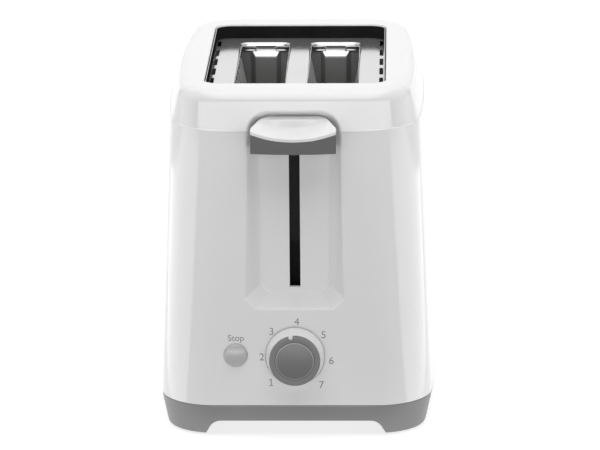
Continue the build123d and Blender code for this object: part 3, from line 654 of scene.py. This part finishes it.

# polished pan: folded wall, two slots with rolled flanges, a row of vents on each side; the upright wall
# carries near-black painted shade with no gloss
panSetup = {
    "half": 0.0495, "end": 0.0797, "corner": 0.0092, "floor": 0.1858, "sheet": 0.0006, "top": 0.193,
    "fold": 0.0007,
    "foldSteps": 4, "edge": 0.0002, "edgeIn": 0.0001, "slotX": 0.0204, "slotHalf": 0.01375, "slotEnd": 0.066,
    "slotCorner": 0.0045, "roll": 0.0017, "rollSteps": 6, "flange": 0.0019, "cutLow": 0.18, "cutHigh": 0.2,
    "ventX": 0.0473, "ventHalf": 0.0011, "ventEnd": 0.00875, "ventCorner": 0.0009, "ventFirst": -0.06325,
    "ventPitch": 0.0253, "vents": 6, "shade": 35.0, "level": 0.93, "aboveFloor": 0.00001,
    # the pan's upright wall faces: near-black painted shade with no specular, for the shaded recess
    "wallShade": {"name": "panWall", "colour": (0.012, 0.012, 0.012), "shade": (0.02, 0.02, 0.02),
                   "rough": (0.45, 0.6), "patch": 40.0, "bump": 0.03, "specular": 0.0}}


def panRings(s):
    fold, sheet, floor, top = s["fold"], s["sheet"], s["floor"], s["top"]
    line = [(fold * (1 - sin(a)), floor - sheet + fold * (1 - cos(a))) for a in quarter(s["foldSteps"])]
    line += [(0.0, top - s["edge"]), (s["edge"], top), (sheet - s["edgeIn"], top), (sheet, top - s["edge"])]
    inner = fold - sheet
    line += [(sheet + inner * (1 - cos(a)), floor + inner * (1 - sin(a))) for a in quarter(s["foldSteps"])]
    return [raised(straightPlan(s["half"] - i, s["end"] - i, s["corner"] - i), z) for i, z in line]


def slotPlan(s, grow):
    return straightPlan(s["slotHalf"] + grow, s["slotEnd"] + grow, s["slotCorner"] + grow)


def slotFlange(s, x):
    roll, sheet, floor = s["roll"], s["sheet"], s["floor"]
    line = [(roll * (1 - sin(a)), floor - roll * (1 - cos(a))) for a in quarter(s["rollSteps"])]
    line += [(0.0, floor - s["flange"]), (sheet, floor - s["flange"])]
    inner = roll - sheet
    back = reversed(quarter(s["rollSteps"]))
    line += [(roll - inner * sin(a), floor - roll + inner * cos(a)) for a in back]
    rings = [[(px + x, py, z) for px, py in slotPlan(s, grow)] for grow, z in line]
    return drawUp("slotFlange", rings, "loop")


def cutPan(obj, s):
    flanges = []
    for side in (-1, 1):
        x = side * s["slotX"]
        cut(obj, prism("slotCut", slotPlan(s, s["roll"]), x, s["cutLow"], s["cutHigh"]))
        flanges.append(slotFlange(s, x))
        for i in range(s["vents"]):
            y = s["ventFirst"] + i * s["ventPitch"]
            outline = [(px, py + y) for px, py in straightPlan(s["ventHalf"], s["ventEnd"], s["ventCorner"])]
            cut(obj, prism("ventCut", outline, side * s["ventX"], s["cutLow"], s["cutHigh"]))
    joinTo(obj, flanges)


def shadedWallFace(face):
    s = panSetup
    return abs(face.normal.z) < s["level"] and face.center.z > s["floor"] + s["aboveFloor"]


pan = drawUp("panSkin", panRings(panSetup), "caps")
cutPan(pan, panSetup)
smoothShade(pan, panSetup["shade"])
dress(pan, "polished_steel", "frame", "top_plate")
# the upright wall faces of the polished pan take the near-black painted shade
repaint(pan, panSetup["wallShade"], shadedWallFace)
print("pan made", len(pan.data.polygons))

# lever: a grey grip under a white cap with a finger dish
leverSetup = {
    "half": 0.0232, "front": -0.119, "frontSide": -0.1165, "taper": -0.1125, "rear": -0.0984,
    "rearHalf": 0.0168,
    "corner": 0.008, "cornerSteps": 14, "frontCorner": 0.0016, "frontSteps": 8, "bulgeParts": 12,
    "bulgeRound": 1.0,
    "low": 0.1628, "topFront": 0.1744, "topRear": 0.1796, "thick": 0.0016, "seat": 0.00005, "smile": 0.0032,
    "dish": 0.0044, "dishHalf": 0.0178, "dishFade": 1.2, "wallY": -0.1021, "wallRound": 0.0008,
    "wallStep": 0.0002,
    "wallShare": 2.2, "crowd": (0.35, 0.85), "zoneEdge": 0.0001, "keepFront": 0.002, "keepRear": 0.001,
    "columns": 80, "rows": 110, "inside": 0.000001, "drop": 0.02, "shade": 40.0, "underside": -0.5,
    "lowEdge": 0.0001,
    "capSoft": {"width": 0.0007, "steps": 4, "angle": 40.0, "clamp": True},
    "gripSoft": {"width": 0.001, "steps": 4, "angle": 40.0, "clamp": True},
    "armHalf": 0.00125, "armFront": -0.11005, "armHigh": 0.17005, "armDeep": 0.03, "armTall": 0.02}


def lineAt(line, x):
    for a, b in zip(line, line[1:]):
        if a.x <= x <= b.x and b.x > a.x:
            return a.y + (b.y - a.y) * (x - a.x) / (b.x - a.x)
    return line[-1].y


def leverEdges(s):
    n = s["bulgeParts"]
    side = [(s["half"], s["taper"]), (s["half"], s["frontSide"])]
    ends = [(0, s["rear"]), (s["rearHalf"], s["rear"])]
    rear = roundedLine(ends + side, [s["corner"]] * 2, s["cornerSteps"])
    bulge = [(s["half"] * i / n, s["front"] + (s["frontSide"] - s["front"]) * (i / n) ** 2) for i in range(n)]
    rounds = [s["bulgeRound"]] * (n - 1) + [s["frontCorner"]]
    front = roundedLine(bulge + side[::-1], rounds, s["frontSteps"])
    return front, [p for p in rear if p.y > s["taper"] - s["corner"]]


def smoothStep(t):
    t = min(max(t, 0.0), 1.0)
    return t * t * (3 - 2 * t)


# the dish drops behind a rounded edge, down an upright wall and through a small hollow to its floor
def dishDrop(s, x, y):
    depth = s["dish"] * max(0.0, 1 - (x / s["dishHalf"]) ** 2) ** s["dishFade"]
    bend = min(s["wallRound"], depth / s["wallShare"])
    run = s["wallY"] - y
    if run <= 0 or depth <= 0:
        return 0.0
    if run < bend:
        return bend - sqrt(bend * bend - run * run)
    if run < bend + s["wallStep"]:
        return bend + (depth - 2 * bend) * (run - bend) / s["wallStep"]
    rest = max(0.0, 2 * bend + s["wallStep"] - run)
    return depth - bend + sqrt(bend * bend - rest * rest)


def dishEnd(s):
    return s["wallY"] - 2 * s["wallRound"] - s["wallStep"]


def leverTop(s, x, y):
    level = s["topFront"] + (s["topRear"] - s["topFront"]) * (y - s["front"]) / (s["rear"] - s["front"])
    forward = smoothStep((dishEnd(s) - y) / (dishEnd(s) - s["front"]))
    outer = max(0.0, 1 - (x / s["half"]) ** 2)
    return level - (1 - forward) * dishDrop(s, x, y) - forward * s["smile"] * outer


# rows crowd together at the dish wall
def rowPlace(s, t, low, high):
    first = min(dishEnd(s) - s["zoneEdge"], high - s["keepFront"])
    last = min(s["wallY"] + s["zoneEdge"], high - s["keepRear"])
    marks = [(0.0, low), (s["crowd"][0], first), (s["crowd"][1], last), (1.0, high)]
    for (t0, y0), (t1, y1) in zip(marks, marks[1:]):
        if t <= t1:
            return y0 + (y1 - y0) * (t - t0) / (t1 - t0)
    return high


def leverGrid(s, name, drop):
    front, rear = leverEdges(s)

    def place(u, v):
        x = (s["half"] - s["inside"]) * sin(u * pi / 2)
        y = rowPlace(s, (v + 1) / 2, lineAt(front, abs(x)), lineAt(rear, abs(x)))
        return x, y, leverTop(s, x, y) - drop
    return gridPiece(name, s, place)


def extrudeDown(obj, depth):
    pick(obj)
    bpy.ops.object.mode_set(mode="EDIT")
    bpy.ops.mesh.select_all(action="SELECT")
    bpy.ops.mesh.extrude_region_move(TRANSFORM_OT_translate={"value": (0, 0, -depth)})


def leverCap(s):
    obj = leverGrid(s, "leverCapSkin", 0.0)
    extrudeDown(obj, s["thick"] - s["seat"])
    facesOut()
    soften(obj, lambda e: all(f.normal.z > s["underside"] for f in e.link_faces), s["capSoft"])
    return obj


def leverGrip(s):
    obj = leverGrid(s, "leverGripSkin", s["thick"])
    extrudeDown(obj, s["drop"])
    mesh = bmesh.from_edit_mesh(obj.data)
    for vert in mesh.verts:
        if vert.select:
            vert.co.z = s["low"]
    bmesh.update_edit_mesh(obj.data)
    facesOut()
    soften(obj, lambda e: all(v.co.z < s["low"] + s["lowEdge"] for v in e.verts), s["gripSoft"])
    cutBox(obj, (0, s["armFront"] + s["armDeep"] / 2, s["armHigh"] - s["armTall"] / 2),
           (2 * s["armHalf"], s["armDeep"], s["armTall"]))
    return obj


cap = leverCap(leverSetup)
smoothShade(cap, leverSetup["shade"])
dress(cap, "housing_white", "carriage", "lever_cap")
grip = leverGrip(leverSetup)
smoothShade(grip, leverSetup["shade"])
dress(grip, "lever_grey", "carriage", "lever_grip")
print("lever made", len(cap.data.polygons), len(grip.data.polygons))

# browning knob: light skirt and pointer, grey ring, domed cap with a painted highlight round its edge
knobSetup = {
    "x": 0.0, "z": 0.0467, "steps": 112, "back": -0.10884, "skirtFront": -0.1171, "ringFront": -0.1197,
    "capFront": -0.121, "skirtR": 0.0161, "skirtTopR": 0.0143, "ringR": 0.014, "ringIn": 0.01078,
    "capR": 0.0106,
    "bore": 0.0031, "pole": 0.0002, "domeLift": 0.0001, "domeRound": 0.0005, "domeSteps": 12,
    "pointerTurn": radians(-9.0), "pointerHalf": 0.0011, "ribSteps": 8, "ribEdge": 0.0002, "ribFlat": 0.7,
    "notchGap": 0.00006, "highlightWide": 0.0006, "highlightTilt": -0.3, "shade": 32.0, "capShade": 50.0,
    # a lighter grey on the cap's front edge: a painted highlight line
    "edge": {"name": "capHighlight", "colour": (0.42, 0.42, 0.42), "rough": (0.25, 0.35), "bump": 0.02},
    "ribLine": [("back", -0.0006, 0.0148, 0.01625), ("skirtFront", 0.0005, 0.0133, 0.01475),
                ("skirtFront", -0.0003, 0.0124, 0.0144), ("ringFront", 0.0002, 0.0124, 0.0142),
                ("ringFront", -0.0001, 0.0126, 0.0141)],
    "skirtLine": [("bore", 0, "back", 0), ("skirtR", -0.0006, "back", 0),
                  ("skirtR", -0.0001, "back", -0.0001),
                  ("skirtR", 0, "back", -0.0005), ("skirtR", -0.0004, "back", -0.0026),
                  ("skirtR", -0.0008, "back", -0.0045), ("skirtTopR", 0.0003, "skirtFront", 0.0012),
                  ("skirtTopR", 0.00005, "skirtFront", 0.0003), ("skirtTopR", -0.0002, "skirtFront", 0),
                  ("bore", 0, "skirtFront", 0)],
    "ringLine": [("bore", 0, "skirtFront", -0.00005), ("ringR", -0.0001, "skirtFront", -0.00005),
                 ("ringR", 0, "skirtFront", -0.0002), ("ringR", 0, "ringFront", 0.0005),
                 ("ringR", -0.00012, "ringFront", 0.0002), ("ringR", -0.0004, "ringFront", 0.00003),
                 ("ringR", -0.0007, "ringFront", 0), ("ringIn", 0.0003, "ringFront", 0),
                 ("ringIn", 0.00008, "ringFront", 0.0001), ("ringIn", 0, "ringFront", 0.0004),
                 ("ringIn", 0, "ringFront", 0.0014), ("bore", 0, "ringFront", 0.0014)],
    "capLine": [("bore", 0, "ringFront", 0.00135), ("capR", -0.0001, "ringFront", 0.00135),
                ("capR", 0, "ringFront", 0.0011), ("capR", 0, "ringFront", 0.0002),
                ("capR", -0.0001, "domeEdge", 0.00012), ("capR", -0.00028, "domeEdge", 0.00003)]}


def domeProfile(s, radius, edgeY, frontY):
    rise = edgeY - frontY
    sphere = (radius * radius + rise * rise) / (2 * rise)
    profile = []
    for i in range(s["domeSteps"] + 1):
        t = i / s["domeSteps"]
        r = (radius - s["domeRound"]) * (1 - t) + s["pole"] * t
        profile.append((r, frontY + sphere - sqrt(sphere * sphere - r * r)))
    return profile


# the pointer: a rib up the skirt that ends in a notch of the ring
def knobRib(s, grow):
    half = s["pointerHalf"] + grow
    turn = s["pointerTurn"]
    rings = []
    for key, dy, low, high in s["ribLine"]:
        middle, top = low - grow + half, high + grow
        angles = [pi + pi * i / s["ribSteps"] for i in range(s["ribSteps"] + 1)]
        ring = [(half * cos(a), middle + half * sin(a)) for a in angles]
        flat = half * s["ribFlat"]
        ring += [(half, top - s["ribEdge"]), (flat, top), (-flat, top), (-half, top - s["ribEdge"])]
        y = s[key] + dy
        rings.append([(u * cos(turn) + r * sin(turn), y, s["z"] - u * sin(turn) + r * cos(turn)) for u,
                      r in ring])
    return drawUp("knobRib", rings, "caps")


def turnedPiece(s, name, profile, closed):
    return turned(name, profile, s["x"], s["z"], s["steps"], closed)


# picks the cap's front-facing edge faces for the painted highlight
def capHighlightFace(face):
    s = knobSetup
    out = sqrt(face.center.x ** 2 + (face.center.z - s["z"]) ** 2)
    return s["capR"] - s["highlightWide"] < out and face.normal.y < s["highlightTilt"]


skirt = turnedPiece(knobSetup, "knobSkirtSkin", profileOf(knobSetup, "skirtLine"), "loop")
joinTo(skirt, [knobRib(knobSetup, 0.0)])
smoothShade(skirt, knobSetup["shade"])
dress(skirt, "knob_light", "knob", "knob_skirt")
ring = turnedPiece(knobSetup, "knobRingSkin", profileOf(knobSetup, "ringLine"), "loop")
cut(ring, knobRib(knobSetup, knobSetup["notchGap"]))
smoothShade(ring, knobSetup["shade"])
dress(ring, "knob_dark", "knob", "knob_ring")
domeEdge = knobSetup["ringFront"] + knobSetup["domeLift"]
dome = domeProfile(knobSetup, knobSetup["capR"], domeEdge, knobSetup["capFront"])
knobSetup["domeEdge"] = dome[0][1]
domeCap = turnedPiece(knobSetup, "knobCapSkin", profileOf(knobSetup, "capLine") + dome, "caps")
smoothShade(domeCap, knobSetup["capShade"])
dress(domeCap, "knob_grey", "knob", "knob_cap")
# the cap's edge faces get the lighter painted highlight
repaint(domeCap, knobSetup["edge"], capHighlightFace)
print("knob made")

# push button
buttonSetup = {
    "x": -0.0327, "z": 0.0471, "steps": 72, "r": 0.0066, "front": -0.1114, "edge": -0.1092,
    "flangeFront": -0.10553,
    "flangeBack": -0.10453, "flangeR": 0.0082, "stemR": 0.002, "stemEnd": -0.1035, "stemPole": 0.0003,
    "pole": 0.0002, "domeRound": 0.0008, "domeSteps": 12, "shade": 40.0,
    "line": [("stemPole", 0, "stemEnd", 0), ("stemR", 0, "stemEnd", 0), ("stemR", 0, "flangeBack", 0),
             ("flangeR", 0, "flangeBack", 0), ("flangeR", 0, "flangeFront", 0), ("r", 0, "flangeFront", 0),
             ("r", 0, "edge", 0.0008), ("r", -0.0001, "edge", 0.0003), ("r", -0.0004, "edge", -0.00005)]}
dome = domeProfile(buttonSetup, buttonSetup["r"], buttonSetup["edge"], buttonSetup["front"])
button = turnedPiece(buttonSetup, "buttonSkin", profileOf(buttonSetup, "line") + dome, "caps")
smoothShade(button, buttonSetup["shade"])
dress(button, "button_grey", "button", "cancel_button")
print("button made")

# printed numbers round the knob and one word over the button, a thin layer on the front
printSetup = {
    "marks": [("1", -0.0134, 0.0315), ("2", -0.0183, 0.0462), ("3", -0.0129, 0.0607), ("4", 0.0011, 0.0662),
              ("5", 0.0157, 0.0588), ("6", 0.0199, 0.0441), ("7", 0.0144, 0.0304), ("Stop", -0.0325, 0.0570)],
    "tall": 0.0036, "digit": 0.0042, "thick": 0.00006, "label": 0.73, "sheet": 0.02, "textMerge": 0.0001,
    "merge": 0.000001,
    "one": [(-0.16, 0.0), (0.2, 0.0), (0.2, 0.075), (0.07, 0.075), (0.07, 0.73), (-0.01, 0.73), (-0.17, 0.63),
            (-0.17, 0.54), (-0.025, 0.62), (-0.025, 0.075), (-0.16, 0.075)],
    "ink": {"name": "printGrey", "colour": (0.27, 0.27, 0.27), "shade": (0.24, 0.24, 0.24),
            "rough": (0.5, 0.6),
            "bump": 0.0}}


def flatText(s, text):
    clearSelection()
    bpy.ops.object.text_add()
    bpy.context.object.data.body = text
    bpy.context.object.data.size = 1.0
    bpy.context.object.data.align_x = "CENTER"
    bpy.ops.object.convert(target="MESH")
    obj = bpy.context.object
    bpy.ops.object.mode_set(mode="EDIT")
    bpy.ops.mesh.select_all(action="SELECT")
    bpy.ops.mesh.remove_doubles(threshold=s["textMerge"])
    bpy.ops.mesh.extrude_region_move(TRANSFORM_OT_translate={"value": (0, 0, s["sheet"])})
    facesOut()
    return obj


def printMark(s, text, x, z):
    obj = prism("digitOne", s["one"], 0.0, 0.0, s["sheet"]) if text == "1" else flatText(s, text)
    tall = s["digit"] if text.isdigit() else s["tall"]
    scale = tall / s["label"]
    for vert in obj.data.vertices:
        up = vert.co.y * scale - tall / 2
        out = s["thick"] if vert.co.z > s["sheet"] / 2 else -s["thick"]
        vert.co = (x + vert.co.x * scale, frontFace(z + up) - out, z + up)
    return obj


marks = [printMark(printSetup, *m) for m in printSetup["marks"]]
for obj in marks:
    closeUp(obj, printSetup["merge"])
joinTo(marks[0], marks[1:])
marks[0].name = "dialPrint"
dress(marks[0], "knob_grey", "frame")
paint(marks[0], finishMaterial(printSetup["ink"]))
print("print made")

# base: a drawn-in tub with arches between four feet
baseSetup = {
    "top": 0.0183, "low": 0.0008, "half": 0.079, "end": 0.109, "corner": 0.031, "drawIn": 0.0036,
    "wall": 0.0025,
    "foot": [(0.0008, 0.0016), (0.0011, 0.0007), (0.0017, 0.0002), (0.0026, 0.0), (0.006, 0.0), (0.012, 0.0)],
    "rim": [(0.0007, 0.0), (0.0003, 0.0002), (0.0, 0.0006)],
    "arch": 0.0089, "archRound": 0.007, "archSteps": 12, "archFlare": 0.001, "archBelow": -0.003,
    "reach": 0.2,
    "frontTop": 0.0455, "frontLow": 0.0505, "sideTop": 0.071, "sideLow": 0.076,
    "footHigh": 0.0095, "footSoft": {"width": 0.0006, "steps": 2, "angle": 40.0, "clamp": True},
    "floor": 0.0114, "hollow": (0.0114, 0.0175, 0.022), "gateHalf": 0.0494, "gateY": 0.101,
    "gateHigh": 0.0177,
    "gateDeep": 0.03, "screws": (0.0695, 0.05), "screwR": 0.0033, "screwLow": 0.004, "screwTop": 0.0123,
    "pads": (0.0585, 0.088), "padR": 0.00505, "padLow": -0.001, "padTop": 0.002, "roundSteps": 32,
    "merge": 0.00002, "shade": 28.0}


def baseOutline(s, z, inset):
    t = (s["top"] - z) / (s["top"] - s["low"]) * s["drawIn"] + inset
    return raised(bowedPlan(s["half"] - t, s["end"] - t, s["corner"] - t), z)


def archLine(s, topHalf, lowHalf):
    corners = [(-lowHalf, 0.0), (-topHalf, s["arch"]), (topHalf, s["arch"]), (lowHalf, 0.0)]
    line = [tuple(p) for p in roundedLine(corners, [s["archRound"]] * 2, s["archSteps"])]
    out = lowHalf + s["archFlare"]
    return [(-out, s["archBelow"])] + line + [(out, s["archBelow"])]


def standing(s, radius, x, y, low, high):
    ring = [(x + u, y + v) for u, v in circle(radius, s["roundSteps"])]
    return drawUp("standingCut", [raised(ring, low), raised(ring, high)], "caps")


def cutBase(obj, s):
    ends = (-s["reach"], s["reach"])
    front = archLine(s, s["frontTop"], s["frontLow"])
    side = archLine(s, s["sideTop"], s["sideLow"])
    cut(obj, drawUp("archCut", [[(u, end, z) for u, z in front] for end in ends], "caps"))
    cut(obj, drawUp("archCut", [[(end, u, z) for u, z in side] for end in ends], "caps"))
    soften(obj, lambda e: all(v.co.z < s["footHigh"] for v in e.verts), s["footSoft"])
    cut(obj, drawUp("baseHollow", [baseOutline(s, z, s["wall"]) for z in s["hollow"]], "caps"))
    cutBox(obj, (0, s["gateY"] + s["gateDeep"] / 2, (s["gateHigh"] + s["floor"]) / 2),
           (2 * s["gateHalf"], s["gateDeep"], s["gateHigh"] - s["floor"]))
    for sx in (-1, 1):
        for sy in (-1, 1):
            screw, pad = s["screws"], s["pads"]
            cut(obj, standing(s, s["screwR"], sx * screw[0], sy * screw[1], s["screwLow"], s["screwTop"]))
            cut(obj, standing(s, s["padR"], sx * pad[0], sy * pad[1], s["padLow"], s["padTop"]))


levels = baseSetup["foot"] + [(baseSetup["top"] - drop, inset) for drop, inset in baseSetup["rim"]]
base = drawUp("baseSkin", [baseOutline(baseSetup, z, inset) for z, inset in levels], "caps")
cutBase(base, baseSetup)
closeUp(base, baseSetup["merge"])
smoothShade(base, baseSetup["shade"])
dress(base, "base_grey", "frame", "base")
print("base made", len(base.data.polygons))

# rear end plate: sheet with a pressed panel behind each slot and two bent tabs over it; faces not turned
# upward carry a darker painted shade
plateSetup = {
    "half": 0.058, "low": 0.0114, "high": 0.1833, "y": 0.069, "sheet": 0.0008, "slotX": 0.0204,
    "pressHalf": 0.0062, "pressSlope": 0.0026, "pressLow": 0.121, "pressHigh": 0.1812, "pressTop": 0.0042,
    "rise": 0.0026, "columns": 220, "rows": 150, "crowd": 1.5, "gateHalf": 0.051, "gateHigh": 0.0185,
    "rackHalf": 0.005, "rackLow": 0.026, "rackHigh": 0.11, "cutDeep": 0.02,
    "tabAt": 0.0095, "tabHalf": 0.0038, "tabHigh": 0.1828, "tabLow": 0.1806, "tabRise": 0.0014,
    "tabEdge": 0.0004,
    "merge": 0.00001, "shade": 40.0, "upward": 0.25,
    # darker, duller sheet for faces that don't face up: painted shade, while the upward faces keep the bright
    # steel as painted light
    "shadedFaces": {"name": "shadedSheet", "colour": (0.26, 0.26, 0.26), "rough": (0.45, 0.6), "metal": 0.35,
             "bump": 0.05}}


def ramp(t):
    return min(max(t, 0.0), 1.0)


def pressRise(s, x, z):
    off = abs(abs(x) - s["slotX"])
    side = (s["pressHalf"] + s["pressSlope"] - off) / s["pressSlope"]
    up = (s["pressHigh"] - z) / s["pressTop"]
    down = (z - s["pressLow"]) / s["pressSlope"]
    tabSide = (s["tabHalf"] - abs(off - s["tabAt"])) / s["tabEdge"]
    tabUp = (s["tabHigh"] - z) / (s["tabHigh"] - s["tabLow"])
    tabDown = (z - s["tabLow"] + s["tabEdge"]) / s["tabEdge"]
    tab = ramp(tabSide) * ramp(tabUp) * ramp(tabDown)
    return max(s["rise"] * ramp(min(side, up, down)), s["tabRise"] * tab)


def rearPlate(s):
    middle, tall = (s["low"] + s["high"]) / 2, (s["high"] - s["low"]) / 2

    def place(u, v):
        z = middle + tall * (v if v < 0 else 1 - (1 - v) ** s["crowd"])
        return u * s["half"], s["y"] - pressRise(s, u * s["half"], z), z
    obj = gridPiece("rearPlateSkin", s, place)
    sheet = obj.modifiers.new("sheet", "SOLIDIFY")
    sheet.thickness = s["sheet"]
    sheet.offset = -1.0
    applyModifiers(obj)
    closeUp(obj, s["merge"])
    cutBox(obj, (0, s["y"], s["gateHigh"] / 2), (2 * s["gateHalf"], s["cutDeep"], s["gateHigh"]))
    for x in (s["slotX"], -s["slotX"]):
        cutBox(obj, (x, s["y"], (s["rackLow"] + s["rackHigh"]) / 2),
               (2 * s["rackHalf"], s["cutDeep"], s["rackHigh"] - s["rackLow"]))
    return obj


plate = rearPlate(plateSetup)
smoothShade(plate, plateSetup["shade"])
dress(plate, "sheet_steel", "frame", "rear_end_plate")
# faces turned less than upward take the darker painted shade
repaint(plate, plateSetup["shadedFaces"], lambda face: face.normal.z < plateSetup["upward"])
print("rear plate made", len(plate.data.polygons))

# lift spring on the guide rod, wound with closed ends
springSetup = {"x": -0.014, "y": -0.085, "low": 0.0117, "high": 0.1177, "r": 0.0039, "wire": 0.00055,
               "turns": 14,
               "steps": 20, "around": 10, "shade": 50.0}


def woundSpring(s):
    bottom, top = s["low"] + s["wire"], s["high"] - s["wire"]
    closed = 2 * s["wire"]
    rings = []
    for i in range(s["turns"] * s["steps"] + 1):
        t = i / s["steps"]
        if t < 1:
            z = bottom + closed * t
        elif t > s["turns"] - 1:
            z = top - closed * (s["turns"] - t)
        else:
            z = bottom + closed + (top - bottom - 2 * closed) * (t - 1) / (s["turns"] - 2)
        a = 2 * pi * t
        section = [(s["r"] + u, z + v) for u, v in circle(s["wire"], s["around"])]
        rings.append([(s["x"] + r * cos(a), s["y"] + r * sin(a), up) for r, up in section])
    return drawUp("springCoil", rings, "caps")


spring = woundSpring(springSetup)
smoothShade(spring, springSetup["shade"])
dress(spring, "guard_wire", "frame", "carriage_spring")
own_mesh(spring)
print("spring made", len(spring.data.polygons))

# cord gland: a ribbed rubber sleeve with a flange
glandSetup = {
    "x": 0.042, "z": 0.032, "steps": 64, "shade": 35.0,
    "inside": [(0.0033, 0.1027), (0.0048, 0.1027), (0.005, 0.1029), (0.005, 0.10895)],
    "flange": [(0.0071, 0.10897), (0.0075, 0.10915), (0.0076, 0.1095), (0.0076, 0.111), (0.0074, 0.1114),
               (0.007, 0.1116), (0.0053, 0.1117)],
    "ribs": 5, "ribFirst": 0.1122, "ribPitch": 0.0017, "ribFoot": 0.0043, "ribTop": 0.005,
    "ribTaper": 0.00012,
    "ribLine": (0.0, 0.0004, 0.0006, 0.0013),
    "tip": [(0.0043, 0.1206), (0.0041, 0.12095), (0.0038, 0.121), (0.0035, 0.121), (0.0033, 0.1208)]}


def glandProfile(s):
    profile = s["inside"] + s["flange"]
    for i in range(s["ribs"]):
        top = s["ribTop"] - s["ribTaper"] * i
        heights = (s["ribFoot"], s["ribFoot"], top, top)
        y = s["ribFirst"] + i * s["ribPitch"]
        profile = profile + [(r, y + dy) for r, dy in zip(heights, s["ribLine"])]
    return profile + s["tip"]


gland = turnedPiece(glandSetup, "glandSkin", glandProfile(glandSetup), "loop")
smoothShade(gland, glandSetup["shade"])
dress(gland, "gland_grey", "frame", "cord_gland")
print("gland made")
